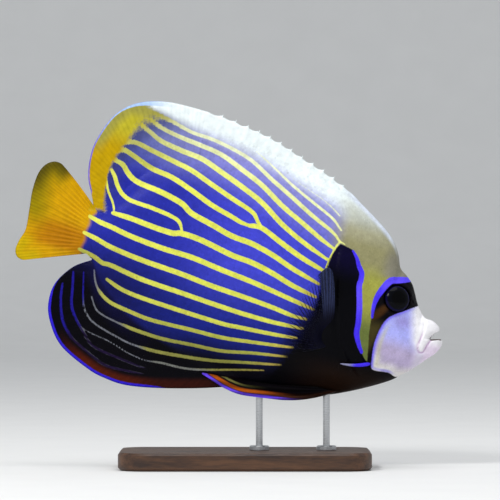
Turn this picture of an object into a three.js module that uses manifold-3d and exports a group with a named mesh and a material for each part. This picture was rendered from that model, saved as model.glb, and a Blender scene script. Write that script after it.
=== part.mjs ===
// Adult emperor angelfish (Pomacanthus imperator), life size, held nose down on a plain display stand.
// Millimetres. The fish is drawn in its own frame, where x runs from the tail root to the snout, y to
// its left side and z to its back, and the whole of it is then tilted and lifted onto the stand.
import * as THREE from 'three';
import { mergeVertices } from 'three/addons/utils/BufferGeometryUtils.js';
import Module from 'manifold-3d';

const wasm = await Module();
wasm.setup();

// Pose and stand
const NOSE_DOWN = THREE.MathUtils.degToRad(16);
const TAIL_ROOT_X = -95.1;
const TAIL_ROOT_Z = 164;
const BASE_LENGTH = 176;
const BASE_DEPTH = 104;
const BASE_THICKNESS = 12;
const BASE_CORNER = 18;
const BASE_CHAMFER = 1.6;
const BASE_CENTRE_X = 12;
const ROD_RADIUS = 2.4;
const ROD_COLLAR_RADIUS = 7;
const ROD_COLLAR_HEIGHT = 3;
const ROD_FRONT_X = 69;
const ROD_REAR_X = 22;
const ROD_TOP = 112;

// Clearance between neighbouring pieces
const GAP = 0.3;

// Side outline of the flesh, without the fins: height of back and belly along the length
const SNOUT_X = 253;
const STEM_X = 16;
const BACK_LINE = [
  [0, 15.2], [5, 18], [13, 34], [25, 52], [41, 66], [61, 75.5], [85, 81], [110, 83.5], [135, 83],
  [155, 80.5], [172, 73.5], [187, 65.2], [198, 58.2], [206, 51.2], [211, 43.5], [214.2, 36.2],
  [220, 32], [225.5, 27.4], [229.8, 20.8], [234, 13.4], [239.5, 7.2], [245, 3.6], [253, -1.5],
];
const BELLY_LINE = [
  [0, -15], [6, -18.4], [14, -29], [26, -39], [46, -50], [70, -58.5], [95, -65.5], [120, -71],
  [135, -72.8], [150, -72.6], [165, -70.5], [180, -66.6], [194, -61.6], [213, -51.8], [229.5, -41.4],
  [236, -35.6], [243, -28.2], [248, -21.5], [253, -12],
];

// Greatest half width of the flesh along the length
const WIDTH_LINE = [
  [0, 5], [8, 7.2], [20, 10.4], [40, 14.4], [70, 18.4], [100, 21], [130, 22.8], [160, 23.6],
  [180, 23.2], [198, 21.4], [214, 18.6], [226, 15.2], [236, 11.8], [244, 8.8], [249, 6.6], [253, 4.4],
];

// How sharply the flesh closes towards the back and the belly: 0.5 is round, 1 is keeled
const KEEL_LINE = [[0, 0.55], [20, 0.78], [150, 0.8], [175, 0.66], [200, 0.56], [253, 0.5]];
const SECTION_POWER = 2.2;
const SECTION_POINTS = 30;
const STATION_STEP = 6.4;
const HEAD_STATION_STEP = 3.6;
const HEAD_STATIONS_FROM = 168;

// Edge between head and trunk, along the gill opening, from the nape to the throat
const GILL_EDGE = [
  [176, 92], [172, 58], [170.4, 38], [173, 20], [178, 2], [183, -14], [189, -26], [197, -36],
  [207, -44.5], [216, -58], [219, -90],
];

// Gill cover seen from the side, from its top round the front edge and back up the rear edge
const GILL_COVER = [
  [176, 43], [181.5, 39], [187.5, 30.5], [190, 20], [190.5, 8], [193.5, -4], [197, -17], [202.5, -28.5],
  [210, -37], [207.5, -42], [199, -36.4], [190.6, -26], [185, -14.5], [180, 2], [175.2, 19], [172.8, 33],
];
const GILL_COVER_THICKNESS = 2.6;
const GILL_COVER_RISE = 0.6;

// Eye
const EYE_X = 217.5;
const EYE_Z = 14.7;
const EYE_RADIUS = 9.8;
const EYE_DEPTH = 5.6;
const EYE_SUNK = 2.1;
const ORBIT_RIM = 1.25;

// Nostrils: front and rear hole on each side
const NOSTRILS = [[228.3, 15.6, 0.95], [226.2, 19.2, 0.75]];

// Cheek spine: root on the corner of the cheek, tip over the gill cover
const CHEEK_SPINE_ROOT = [211.5, -34.6];
const CHEEK_SPINE_TIP = [192.6, -39.6];
const CHEEK_SPINE_RADIUS = 1.5;
const CHEEK_SPINE_STAND = 1.7;

// Lips: places on the midline and on the side of the mouth
const UPPER_LIP_FRONT = [248.6, 2.1];
const UPPER_LIP_SIDE = [244.8, -3.6];
const UPPER_LIP_END = [243.9, -11.8];
const UPPER_LIP_HALF_WIDTH = 7.7;
const UPPER_LIP_RADIUS = 3.3;
const LOWER_LIP_FRONT = [252.6, -8.4];
const LOWER_LIP_SIDE = [248.2, -10.8];
const LOWER_LIP_END = [243, -17.4];
const LOWER_LIP_HALF_WIDTH = 6.4;
const LOWER_LIP_RADIUS = 3.5;
const LIP_END_SHARE = 0.78;
const MOUTH_GAP = [[260, 0.6], [248.4, -3], [245.8, -8.8], [247, -9.4], [250.2, -5], [260, -4.6]];

// Fin shapes
const RAY_ROOT_SINK = 2.6;
const RIDGE_DEPTH = 0.42;
const SPINE_TIP_RISE = 1.5;
const WEB_DIP = 1.1;
const FIN_EDGE_HALF = 0.36;

const DORSAL_MARGIN = [
  [175.5, 71.8], [166.7, 77], [153.8, 82.4], [142.4, 86.6], [131.3, 89.7], [109.5, 96.6], [93.7, 100],
  [80.9, 101.6], [66.1, 103.4], [45.1, 103.9], [24.5, 102.6], [5.5, 96.1], [-7.6, 83.5], [-15.1, 63],
  [-15.4, 47], [-10, 30.5], [-3, 22.4], [3.4, 17.4],
];
const DORSAL_ROOT = [
  [177, 70.5], [165, 76.8], [150, 81.5], [130, 83.2], [110, 83.5], [85, 81], [61, 75.5], [41, 66],
  [25, 52], [13, 34], [6, 20],
];
const DORSAL_SPINES = 14;
const DORSAL_RAYS = 20;
const SPINY_SHARE = 0.45;
const SPINY_ROOT_SHARE = 0.6;

const ANAL_MARGIN = [
  [128, -74.5], [116, -79], [102.5, -83.6], [83, -89.3], [64.6, -93.8], [49.5, -96], [37.4, -95.3],
  [25.7, -93], [7, -85.4], [-2.8, -78.7], [-10.4, -69], [-15.1, -59.3], [-16.4, -48.7], [-15, -40.5],
  [-10.8, -32.4], [-4.6, -24.8], [5.2, -18.6],
];
const ANAL_ROOT = [
  [135, -71.4], [120, -71], [95, -65.5], [70, -58.5], [46, -50], [26, -39], [14, -29], [8.4, -20.6],
];
const ANAL_RAYS = 22;

const TAIL_MARGIN = [
  [-44, -31.8], [-48, -27.5], [-47.6, -18.6], [-45.4, -10], [-46.9, 4.8], [-48.2, 15.2], [-47.4, 24.5],
  [-44.8, 33], [-37.8, 40.4],
];
const TAIL_ROOT_HALF_HEIGHT = 14.4;
const TAIL_RAYS = 15;
const TAIL_BOW = 2.4;

const PECTORAL_MARGIN = [
  [167.5, 21.8], [161.5, 24.2], [156, 16.4], [152.6, 6], [150.6, -5.5], [150, -20], [152, -33],
  [159, -40.5],
];
const PECTORAL_ROOT = [[176.4, -12.5], [181.4, -27.5]];
const PECTORAL_RAYS = 16;
const PECTORAL_SPREAD = 11;

const PELVIC_MARGIN = [
  [150, -76.6], [131.7, -79.6], [119, -78.6], [108, -75.4], [97.5, -71.8], [112, -70.5], [128, -69.5],
  [143, -67.5],
];
const PELVIC_ROOT = [[190, -64.8], [179, -61.8]];
const PELVIC_RAYS = 6;
const PELVIC_CLEAR = 3.9;

// Cubic through a list of [place, value] pairs
function through(points) {
  const slopes = points.map((point, i) => {
    const before = points[Math.max(i - 1, 0)];
    const after = points[Math.min(i + 1, points.length - 1)];
    return (after[1] - before[1]) / (after[0] - before[0]);
  });
  return (place) => {
    const at = THREE.MathUtils.clamp(place, points[0][0], points[points.length - 1][0]);
    let i = 0;
    while (i < points.length - 2 && at > points[i + 1][0]) i += 1;
    const [x0, v0] = points[i];
    const [x1, v1] = points[i + 1];
    const span = x1 - x0;
    const t = (at - x0) / span;
    const blend = t * t * (3 - 2 * t);
    const lead = t * (1 - t) * (1 - t) * span * slopes[i];
    const trail = t * t * (t - 1) * span * slopes[i + 1];
    return v0 + (v1 - v0) * blend + lead + trail;
  };
}

const backAt = through(BACK_LINE);
const bellyAt = through(BELLY_LINE);
const widthAt = through(WIDTH_LINE);
const keelAt = through(KEEL_LINE);

// Half width of the flesh at a point of its side view, grown by a margin, and 0 outside it
function halfWidth(x, z, grow = 0) {
  const top = backAt(x) + grow;
  const bottom = bellyAt(x) - grow;
  const height = Math.abs(2 * z - top - bottom) / (top - bottom);
  if (height >= 1) return 0;
  return (widthAt(x) + grow) * (1 - height ** SECTION_POWER) ** keelAt(x);
}

// Direction straight out of the right flank at a point of the side view
function outward(x, z) {
  const step = 0.5;
  const alongX = (halfWidth(x + step, z) - halfWidth(x - step, z)) / (2 * step);
  const alongZ = (halfWidth(x, z + step) - halfWidth(x, z - step)) / (2 * step);
  return new THREE.Vector3(-alongX, -1, -alongZ).normalize();
}

function geometryFrom(positions, indices) {
  const geometry = new THREE.BufferGeometry();
  geometry.setAttribute('position', new THREE.Float32BufferAttribute(positions, 3));
  geometry.setIndex(indices);
  return geometry;
}

// Closed skin over rings of equal point counts, each end drawn in to its middle
function skinOver(rings) {
  const count = rings[0].length;
  const positions = rings.flat().flatMap((point) => point.toArray());
  const indices = [];
  for (let r = 0; r < rings.length - 1; r += 1) {
    for (let i = 0; i < count; i += 1) {
      const a = r * count + i;
      const b = r * count + ((i + 1) % count);
      indices.push(a, b, a + count, b, b + count, a + count);
    }
  }
  for (const [ring, turned] of [[0, false], [rings.length - 1, true]]) {
    const middle = rings[ring].reduce((sum, point) => sum.add(point), new THREE.Vector3());
    middle.divideScalar(count);
    const hub = positions.length / 3;
    positions.push(...middle.toArray());
    for (let i = 0; i < count; i += 1) {
      const a = ring * count + i;
      const b = ring * count + ((i + 1) % count);
      if (turned) indices.push(a, b, hub);
      else indices.push(b, a, hub);
    }
  }
  return geometryFrom(positions, indices);
}

// Solid of a closed geometry, turned the right way out
function solidOf(geometry) {
  const bare = geometry.clone();
  bare.deleteAttribute('normal');
  bare.deleteAttribute('uv');
  const merged = mergeVertices(bare, 1e-4);
  const corners = Uint32Array.from(merged.index.array);
  const vertices = Float32Array.from(merged.attributes.position.array);
  const made = new wasm.Manifold(new wasm.Mesh({ numProp: 3, vertProperties: vertices, triVerts: corners }));
  if (made.volume() > 0) return made;
  const turned = corners.slice();
  for (let i = 0; i < turned.length; i += 3) [turned[i], turned[i + 1]] = [corners[i + 1], corners[i]];
  return new wasm.Manifold(new wasm.Mesh({ numProp: 3, vertProperties: vertices, triVerts: turned }));
}

function largestOf(solid) {
  return solid.decompose().sort((a, b) => b.volume() - a.volume())[0];
}

// Side-view outline made a solid between two distances from the midline
function prism(outline, from, to) {
  const shape = new THREE.Shape(outline.map(([x, z]) => new THREE.Vector2(x, z)));
  const geometry = new THREE.ExtrudeGeometry(shape, { depth: to - from, bevelEnabled: false });
  geometry.rotateX(Math.PI / 2);
  geometry.translate(0, to, 0);
  return solidOf(geometry);
}

// Flesh of the whole body from the tail root to the snout, grown by a margin
function fleshSolid(grow = 0, narrow = 0) {
  const places = [];
  for (let x = 0; x < HEAD_STATIONS_FROM; x += STATION_STEP) places.push(x);
  for (let x = HEAD_STATIONS_FROM; x < SNOUT_X - 1; x += HEAD_STATION_STEP) places.push(x);
  places.push(SNOUT_X);
  const rings = places.map((x) => {
    const middle = (backAt(x) + bellyAt(x)) / 2;
    const reach = (backAt(x) - bellyAt(x)) / 2 + grow;
    const ring = [];
    for (let i = 0; i < SECTION_POINTS; i += 1) {
      const turn = (2 * Math.PI * i) / SECTION_POINTS;
      const height = Math.cos(turn);
      const round = Math.max(1 - Math.abs(height) ** SECTION_POWER, 0) ** keelAt(x);
      const half = Math.max(widthAt(x) + grow - narrow, 0.5) * round;
      const side = Math.sign(Math.round(Math.sin(turn) * 1e6));
      ring.push(new THREE.Vector3(x, side * half, middle + height * reach));
    }
    return ring;
  });
  const ends = [rings[0], rings[rings.length - 1]];
  ends[0].forEach((point) => { point.x -= grow; });
  ends[1].forEach((point) => { point.x += grow; });
  return solidOf(skinOver(rings));
}

// Round tapered solid along a curve through points, with a radius for each share of its length
function taperedRod(points, radiusAt, steps, sides) {
  const curve = new THREE.CatmullRomCurve3(points);
  const frames = curve.computeFrenetFrames(steps, false);
  const rings = [];
  for (let i = 0; i <= steps; i += 1) {
    const centre = curve.getPointAt(i / steps);
    const radius = radiusAt(i / steps);
    const ring = [];
    for (let j = 0; j < sides; j += 1) {
      const turn = (2 * Math.PI * j) / sides;
      const point = centre.clone();
      point.addScaledVector(frames.normals[i], Math.cos(turn) * radius);
      point.addScaledVector(frames.binormals[i], Math.sin(turn) * radius);
      ring.push(point);
    }
    rings.push(ring);
  }
  return solidOf(skinOver(rings));
}

function sideCurve(points) {
  return new THREE.SplineCurve(points.map(([x, z]) => new THREE.Vector2(x, z)));
}

// Fin as a sheet of columns from root to margin, its rays raised on both faces
function rayedFin({ root, margin, columns, rows, isRay, rootHalf, bow, sideways }) {
  const positions = [];
  const indices = [];
  for (let c = 0; c <= columns; c += 1) {
    const share = c / columns;
    const start = root(share);
    const end = margin(share, c);
    const along = end.clone().sub(start);
    const across = new THREE.Vector2(-along.y, along.x).normalize();
    for (let r = 0; r <= rows; r += 1) {
      const t = r / rows;
      const place = start.clone().addScaledVector(along, t);
      place.addScaledVector(across, bow(share) * 4 * t * (1 - t));
      const plain = rootHalf(share) * (1 - t) ** 1.6 + FIN_EDGE_HALF;
      const half = isRay(c) ? plain : Math.max(plain - RIDGE_DEPTH * (1 - 0.6 * t), FIN_EDGE_HALF * 0.8);
      const middle = sideways(place.x, place.y, t);
      positions.push(place.x, middle + half, place.y, place.x, middle - half, place.y);
    }
  }
  const at = (c, r, face) => 2 * (c * (rows + 1) + r) + face;
  const quad = (a, b, d, e) => indices.push(a, b, d, b, e, d);
  for (let c = 0; c < columns; c += 1) {
    for (let r = 0; r < rows; r += 1) {
      quad(at(c, r, 0), at(c + 1, r, 0), at(c, r + 1, 0), at(c + 1, r + 1, 0));
      indices.push(at(c, r, 1), at(c, r + 1, 1), at(c + 1, r, 1));
      indices.push(at(c + 1, r, 1), at(c, r + 1, 1), at(c + 1, r + 1, 1));
    }
    quad(at(c, 0, 1), at(c + 1, 0, 1), at(c, 0, 0), at(c + 1, 0, 0));
    quad(at(c, rows, 0), at(c + 1, rows, 0), at(c, rows, 1), at(c + 1, rows, 1));
  }
  for (let r = 0; r < rows; r += 1) {
    quad(at(0, r, 0), at(0, r + 1, 0), at(0, r, 1), at(0, r + 1, 1));
    quad(at(columns, r, 1), at(columns, r + 1, 1), at(columns, r, 0), at(columns, r + 1, 0));
  }
  return solidOf(geometryFrom(positions, indices));
}

const flesh = fleshSolid();
const fleshWithGap = fleshSolid(GAP);

// Root line of a fin on the flesh, sunk into it towards the middle of the body
function sunkRoot(curve, from, to) {
  return (share) => {
    const point = curve.getPointAt(THREE.MathUtils.lerp(from, to, share));
    const inwards = new THREE.Vector2(110, 0).sub(point).normalize();
    return point.addScaledVector(inwards, RAY_ROOT_SINK);
  };
}

const dorsalMargin = sideCurve(DORSAL_MARGIN);
const dorsalRoot = sideCurve(DORSAL_ROOT);
const anyFlat = () => 0;

// Spines of the fin on the back: each tip stands clear of the web behind it
function spinyDorsal() {
  const columns = DORSAL_SPINES * 3;
  const tipRise = [SPINE_TIP_RISE, -WEB_DIP, 0];
  const isSpine = (c) => c % 3 === 0 && c < columns;
  return largestOf(rayedFin({
    root: sunkRoot(dorsalRoot, 0, SPINY_ROOT_SHARE - 0.001),
    margin: (share, c) => {
      const point = dorsalMargin.getPointAt(share * (SPINY_SHARE - 0.0012));
      const tangent = dorsalMargin.getTangentAt(share * SPINY_SHARE);
      const out = new THREE.Vector2(tangent.y, -tangent.x);
      if (c === columns) return point;
      return point.addScaledVector(out, tipRise[c % 3]).addScaledVector(tangent, isSpine(c) ? SPINE_TIP_RISE / 2 : 0);
    },
    columns,
    rows: 4,
    isRay: isSpine,
    rootHalf: () => 1.9,
    bow: () => 0,
    sideways: anyFlat,
  }).subtract(fleshWithGap));
}

// Soft-rayed rear part of the fin on the back
function softDorsal() {
  return largestOf(rayedFin({
    root: sunkRoot(dorsalRoot, SPINY_ROOT_SHARE + 0.001, 1),
    margin: (share) => dorsalMargin.getPointAt(THREE.MathUtils.lerp(SPINY_SHARE + 0.0012, 1, share)),
    columns: DORSAL_RAYS * 2,
    rows: 5,
    isRay: (c) => c % 2 === 1,
    rootHalf: (share) => 2.6 - share,
    bow: (share) => 3 * share * (1 - share),
    sideways: anyFlat,
  }).subtract(fleshWithGap));
}

const analMargin = sideCurve(ANAL_MARGIN);
const analRoot = sideCurve(ANAL_ROOT);

function analFin() {
  return largestOf(rayedFin({
    root: sunkRoot(analRoot, 0, 1),
    margin: (share) => analMargin.getPointAt(share),
    columns: ANAL_RAYS * 2,
    rows: 5,
    isRay: (c) => c % 2 === 1,
    rootHalf: (share) => 2.4 - share,
    bow: (share) => -3 * share * (1 - share),
    sideways: anyFlat,
  }).subtract(fleshWithGap));
}

const tailMargin = sideCurve(TAIL_MARGIN);

function tailFin() {
  return rayedFin({
    root: (share) => new THREE.Vector2(-GAP, TAIL_ROOT_HALF_HEIGHT * (2 * share - 1)),
    margin: (share) => tailMargin.getPointAt(share),
    columns: TAIL_RAYS * 2,
    rows: 5,
    isRay: (c) => c % 2 === 1,
    rootHalf: (share) => 2.2 + 6 * share * (1 - share),
    bow: (share) => -TAIL_BOW * share,
    sideways: anyFlat,
  });
}

const pectoralMargin = sideCurve(PECTORAL_MARGIN);

// Fin behind the gill cover, spread a little off the flank
function pectoralFin(side) {
  return largestOf(rayedFin({
    root: (share) => sideCurve(PECTORAL_ROOT).getPointAt(share),
    margin: (share) => pectoralMargin.getPointAt(share),
    columns: PECTORAL_RAYS * 2,
    rows: 5,
    isRay: (c) => c % 2 === 1,
    rootHalf: () => 1.6,
    bow: () => -1.5,
    sideways: (x, z, t) => side * (halfWidth(x, z) + 0.9 + PECTORAL_SPREAD * t ** 1.3 - 2 * (1 - t) ** 4),
  }).subtract(fleshWithGap));
}

const pelvicMargin = sideCurve(PELVIC_MARGIN);

// Fin folded back along the belly
function pelvicFin(side) {
  return largestOf(rayedFin({
    root: (share) => sideCurve(PELVIC_ROOT).getPointAt(share),
    margin: (share) => pelvicMargin.getPointAt(share),
    columns: PELVIC_RAYS * 2,
    rows: 5,
    isRay: (c) => c % 2 === 1,
    rootHalf: () => 0.8,
    bow: (share) => 3.4 * (1 - share),
    sideways: (x, z) => side * (PELVIC_CLEAR + 0.66 * halfWidth(x, z)),
  }).subtract(fleshWithGap));
}

function headOutline(shift) {
  return [...GILL_EDGE.map(([x, z]) => [x + shift, z]), [SNOUT_X + 30, -90], [SNOUT_X + 30, 92]];
}

function trunkOutline(shift) {
  return [...GILL_EDGE.map(([x, z]) => [x + shift, z]), [STEM_X + GAP / 2, -90], [STEM_X + GAP / 2, 92]];
}

// Clockwise outline moved outwards by a margin
function widened(outline, margin) {
  return outline.map(([x, z], i) => {
    const [xa, za] = outline[(i + outline.length - 1) % outline.length];
    const [xb, zb] = outline[(i + 1) % outline.length];
    const out = new THREE.Vector2(za - zb, xb - xa).normalize();
    return [x + out.x * margin, z + out.y * margin];
  });
}

function sideRange(side) {
  return side < 0 ? [-40, -0.5] : [0.5, 40];
}

// Plate over the gills, a little proud of the flank
function gillCover(side) {
  const blank = fleshSolid(GILL_COVER_RISE).intersect(prism(GILL_COVER, ...sideRange(side)));
  return largestOf(blank.subtract(fleshSolid(0, GILL_COVER_THICKNESS)).subtract(cheekSpine(side, GAP)));
}

function gillPocket(side) {
  const room = prism(widened(GILL_COVER, GAP * 1.5), ...sideRange(side));
  return room.subtract(fleshSolid(0, GILL_COVER_THICKNESS + GAP));
}

// Flattened ball set square to the side of the head
function eyeBall(side, grow = 0) {
  const geometry = new THREE.SphereGeometry(1, 20, 12);
  geometry.scale(EYE_RADIUS + grow, EYE_DEPTH + grow, EYE_RADIUS + grow);
  return solidOf(placeOnCheek(geometry, EYE_X, EYE_Z, side, -EYE_SUNK));
}

// Geometry whose own y is turned to the way out of the cheek and moved to that place
function placeOnCheek(geometry, x, z, side, lift) {
  const out = outward(x, z);
  const turn = new THREE.Quaternion().setFromUnitVectors(new THREE.Vector3(0, -1, 0), out);
  const place = new THREE.Vector3(x, -halfWidth(x, z), z).addScaledVector(out, lift);
  geometry.applyQuaternion(turn);
  geometry.translate(place.x, place.y, place.z);
  if (side > 0) geometry.scale(1, -1, 1);
  return geometry;
}

function orbitRim(side) {
  const geometry = new THREE.TorusGeometry(EYE_RADIUS + ORBIT_RIM * 0.4, ORBIT_RIM, 6, 20);
  geometry.rotateX(Math.PI / 2);
  return solidOf(placeOnCheek(geometry, EYE_X, EYE_Z, side, 0));
}

function nostril(x, z, radius, side) {
  return solidOf(placeOnCheek(new THREE.SphereGeometry(radius, 10, 8), x, z, side, 0.2));
}

// Backward-pointing spine at the corner of the cheek
function cheekSpine(side, grow = 0) {
  const [xr, zr] = CHEEK_SPINE_ROOT;
  const [xt, zt] = CHEEK_SPINE_TIP;
  const points = [0, 0.35, 0.7, 1].map((t) => {
    const x = THREE.MathUtils.lerp(xr, xt, t);
    const z = THREE.MathUtils.lerp(zr, zt, t);
    const lift = THREE.MathUtils.lerp(-0.4, GILL_COVER_RISE + CHEEK_SPINE_STAND + 0.6, Math.min(t * 2.4, 1));
    return new THREE.Vector3(x, side * (halfWidth(x, z) + lift), z);
  });
  return taperedRod(points, (t) => CHEEK_SPINE_RADIUS * (1 - 0.75 * t) + grow, 8, 8);
}

// Roll of a lip round the front of the mouth, thinning to its two ends
function lip(front, sidePlace, end, half, radius) {
  const points = [
    new THREE.Vector3(end[0], -half, end[1]),
    new THREE.Vector3(sidePlace[0], -half * 0.94, sidePlace[1]),
    new THREE.Vector3((sidePlace[0] + front[0]) / 2 + 0.8, -half * 0.62, (sidePlace[1] + front[1]) / 2),
    new THREE.Vector3(front[0], 0, front[1]),
    new THREE.Vector3((sidePlace[0] + front[0]) / 2 + 0.8, half * 0.62, (sidePlace[1] + front[1]) / 2),
    new THREE.Vector3(sidePlace[0], half * 0.94, sidePlace[1]),
    new THREE.Vector3(end[0], half, end[1]),
  ];
  const thin = (t) => LIP_END_SHARE + (1 - LIP_END_SHARE) * Math.sin(Math.PI * t);
  return taperedRod(points, (t) => radius * thin(t), 14, 8);
}

function head() {
  let solid = flesh.intersect(prism(headOutline(GAP * 0.7), -60, 60));
  const upper = lip(UPPER_LIP_FRONT, UPPER_LIP_SIDE, UPPER_LIP_END, UPPER_LIP_HALF_WIDTH, UPPER_LIP_RADIUS);
  const lower = lip(LOWER_LIP_FRONT, LOWER_LIP_SIDE, LOWER_LIP_END, LOWER_LIP_HALF_WIDTH, LOWER_LIP_RADIUS);
  solid = solid.subtract(prism(MOUTH_GAP, -20, 20));
  solid = solid.add(lower).add(upper);
  for (const side of [-1, 1]) {
    solid = solid.subtract(gillPocket(side)).add(orbitRim(side));
    solid = solid.add(cheekSpine(side)).subtract(eyeBall(side, GAP));
    for (const [x, z, radius] of NOSTRILS) solid = solid.subtract(nostril(x, z, radius, side));
  }
  return largestOf(solid);
}

function trunk() {
  return largestOf(flesh.intersect(prism(trunkOutline(-GAP * 0.7), -60, 60)));
}

function tailStem() {
  const outline = [[-5, -60], [STEM_X - GAP / 2, -60], [STEM_X - GAP / 2, 60], [-5, 60]];
  return largestOf(flesh.intersect(prism(outline, -60, 60)));
}

// Plate with rounded corners and a small chamfer all round
function standBase() {
  const halfX = BASE_LENGTH / 2 - BASE_CHAMFER;
  const halfY = BASE_DEPTH / 2 - BASE_CHAMFER;
  const shape = new THREE.Shape();
  shape.moveTo(-halfX + BASE_CORNER, -halfY);
  shape.lineTo(halfX - BASE_CORNER, -halfY);
  shape.absarc(halfX - BASE_CORNER, -halfY + BASE_CORNER, BASE_CORNER, -Math.PI / 2, 0);
  shape.absarc(halfX - BASE_CORNER, halfY - BASE_CORNER, BASE_CORNER, 0, Math.PI / 2);
  shape.absarc(-halfX + BASE_CORNER, halfY - BASE_CORNER, BASE_CORNER, Math.PI / 2, Math.PI);
  shape.absarc(-halfX + BASE_CORNER, -halfY + BASE_CORNER, BASE_CORNER, Math.PI, 1.5 * Math.PI);
  const geometry = new THREE.ExtrudeGeometry(shape, {
    depth: BASE_THICKNESS - 2 * BASE_CHAMFER,
    bevelEnabled: true,
    bevelThickness: BASE_CHAMFER,
    bevelSize: BASE_CHAMFER,
    bevelSegments: 1,
    curveSegments: 8,
  });
  geometry.translate(BASE_CENTRE_X, 0, BASE_CHAMFER);
  return solidOf(geometry);
}

// Upright rod with a collar at its foot, its top shaped to the belly
function standRod(x, fishPlace) {
  const foot = BASE_THICKNESS + GAP;
  const profile = [
    [0, 0], [ROD_COLLAR_RADIUS, 0], [ROD_COLLAR_RADIUS, ROD_COLLAR_HEIGHT - 0.8],
    [ROD_COLLAR_RADIUS - 0.8, ROD_COLLAR_HEIGHT], [ROD_RADIUS, ROD_COLLAR_HEIGHT],
    [ROD_RADIUS, ROD_TOP - foot], [0, ROD_TOP - foot],
  ];
  const geometry = new THREE.LatheGeometry(profile.map(([r, h]) => new THREE.Vector2(r, h)), 20);
  geometry.rotateX(Math.PI / 2);
  geometry.translate(x, 0, foot);
  const pose = new THREE.Matrix4().makeRotationY(NOSE_DOWN).setPosition(...fishPlace.toArray());
  return largestOf(solidOf(geometry).subtract(fleshWithGap.transform(pose.toArray())));
}

const MATERIALS = {
  blueSkin: new THREE.MeshStandardMaterial({ color: '#3838b4', roughness: 0.45, metalness: 0 }),
  paleSkin: new THREE.MeshStandardMaterial({ color: '#bdb8a4', roughness: 0.45, metalness: 0 }),
  darkSkin: new THREE.MeshStandardMaterial({ color: '#0c0a14', roughness: 0.45, metalness: 0 }),
  yellowFin: new THREE.MeshStandardMaterial({ color: '#e0a000', roughness: 0.5, metalness: 0 }),
  eye: new THREE.MeshStandardMaterial({ color: '#07080f', roughness: 0.08, metalness: 0 }),
  wood: new THREE.MeshStandardMaterial({ color: '#4a2f1e', roughness: 0.5, metalness: 0 }),
  steel: new THREE.MeshStandardMaterial({ color: '#b8babd', roughness: 0.3, metalness: 1 }),
};

function named(name, solid, material) {
  const mesh = solid.getMesh();
  const geometry = new THREE.BufferGeometry();
  geometry.setAttribute('position', new THREE.BufferAttribute(mesh.vertProperties, 3));
  geometry.setIndex(new THREE.BufferAttribute(mesh.triVerts, 1));
  geometry.computeVertexNormals();
  const piece = new THREE.Mesh(geometry, material);
  piece.name = name;
  return piece;
}

const fishPlace = new THREE.Vector3(TAIL_ROOT_X, 0, TAIL_ROOT_Z);
const fish = new THREE.Group();
fish.rotation.y = NOSE_DOWN;
fish.position.copy(fishPlace);
fish.add(named('head', head(), MATERIALS.paleSkin));
fish.add(named('trunk', trunk(), MATERIALS.blueSkin));
fish.add(named('tail_stem', tailStem(), MATERIALS.blueSkin));
fish.add(named('dorsal_fin_spiny', spinyDorsal(), MATERIALS.paleSkin));
fish.add(named('dorsal_fin_soft', softDorsal(), MATERIALS.blueSkin));
fish.add(named('anal_fin', analFin(), MATERIALS.darkSkin));
fish.add(named('tail_fin', tailFin(), MATERIALS.yellowFin));
for (const [word, side] of [['right', -1], ['left', 1]]) {
  fish.add(named(`eye_${word}`, eyeBall(side), MATERIALS.eye));
  fish.add(named(`gill_cover_${word}`, gillCover(side), MATERIALS.darkSkin));
  fish.add(named(`pectoral_fin_${word}`, pectoralFin(side), MATERIALS.darkSkin));
  fish.add(named(`pelvic_fin_${word}`, pelvicFin(side), MATERIALS.darkSkin));
}

const model = new THREE.Group();
model.add(fish);
model.add(named('stand_base', standBase(), MATERIALS.wood));
model.add(named('stand_rod_front', standRod(ROD_FRONT_X, fishPlace), MATERIALS.steel));
model.add(named('stand_rod_rear', standRod(ROD_REAR_X, fishPlace), MATERIALS.steel));

export default model;
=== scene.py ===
"""Adult emperor angelfish (Pomacanthus imperator), life size, as a display model on a stand.

The fish is drawn in its own millimetres, where x runs from the tail root to the snout, y to its left
side and z to its back. The whole of it is then tilted nose down and lifted onto the stand.
"""

import math
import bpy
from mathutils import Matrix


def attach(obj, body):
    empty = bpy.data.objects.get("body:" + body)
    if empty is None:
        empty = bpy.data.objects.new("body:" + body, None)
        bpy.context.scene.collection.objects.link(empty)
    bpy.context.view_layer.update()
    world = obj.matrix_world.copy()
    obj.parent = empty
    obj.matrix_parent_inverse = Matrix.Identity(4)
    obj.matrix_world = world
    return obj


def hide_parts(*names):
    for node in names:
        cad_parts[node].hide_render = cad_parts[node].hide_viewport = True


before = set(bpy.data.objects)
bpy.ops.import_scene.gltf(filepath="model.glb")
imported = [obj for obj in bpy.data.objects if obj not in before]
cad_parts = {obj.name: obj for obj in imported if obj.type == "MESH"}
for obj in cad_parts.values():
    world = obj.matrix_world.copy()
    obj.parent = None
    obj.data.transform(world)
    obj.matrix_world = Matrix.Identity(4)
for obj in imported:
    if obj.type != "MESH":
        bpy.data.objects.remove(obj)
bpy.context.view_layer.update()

from types import SimpleNamespace

import bmesh
import bpy
import numpy as np
from bpy.props import FloatProperty, FloatVectorProperty, PointerProperty
from mathutils import Vector
from mathutils.bvhtree import BVHTree

bl_info = {
    "name": "Emperor angelfish model",
    "version": (1, 0, 0),
    "blender": (4, 5, 0),
    "location": "3D View > Sidebar > Angelfish",
    "description": "Skin, scales, fins, eyes and stand of a life-size emperor angelfish",
    "category": "Add Mesh",
}

MM = 0.001

# Pose of the fish over the stand
NOSE_DOWN = math.radians(16)
TAIL_ROOT_X = -95.1
TAIL_ROOT_Z = 164.0

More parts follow.
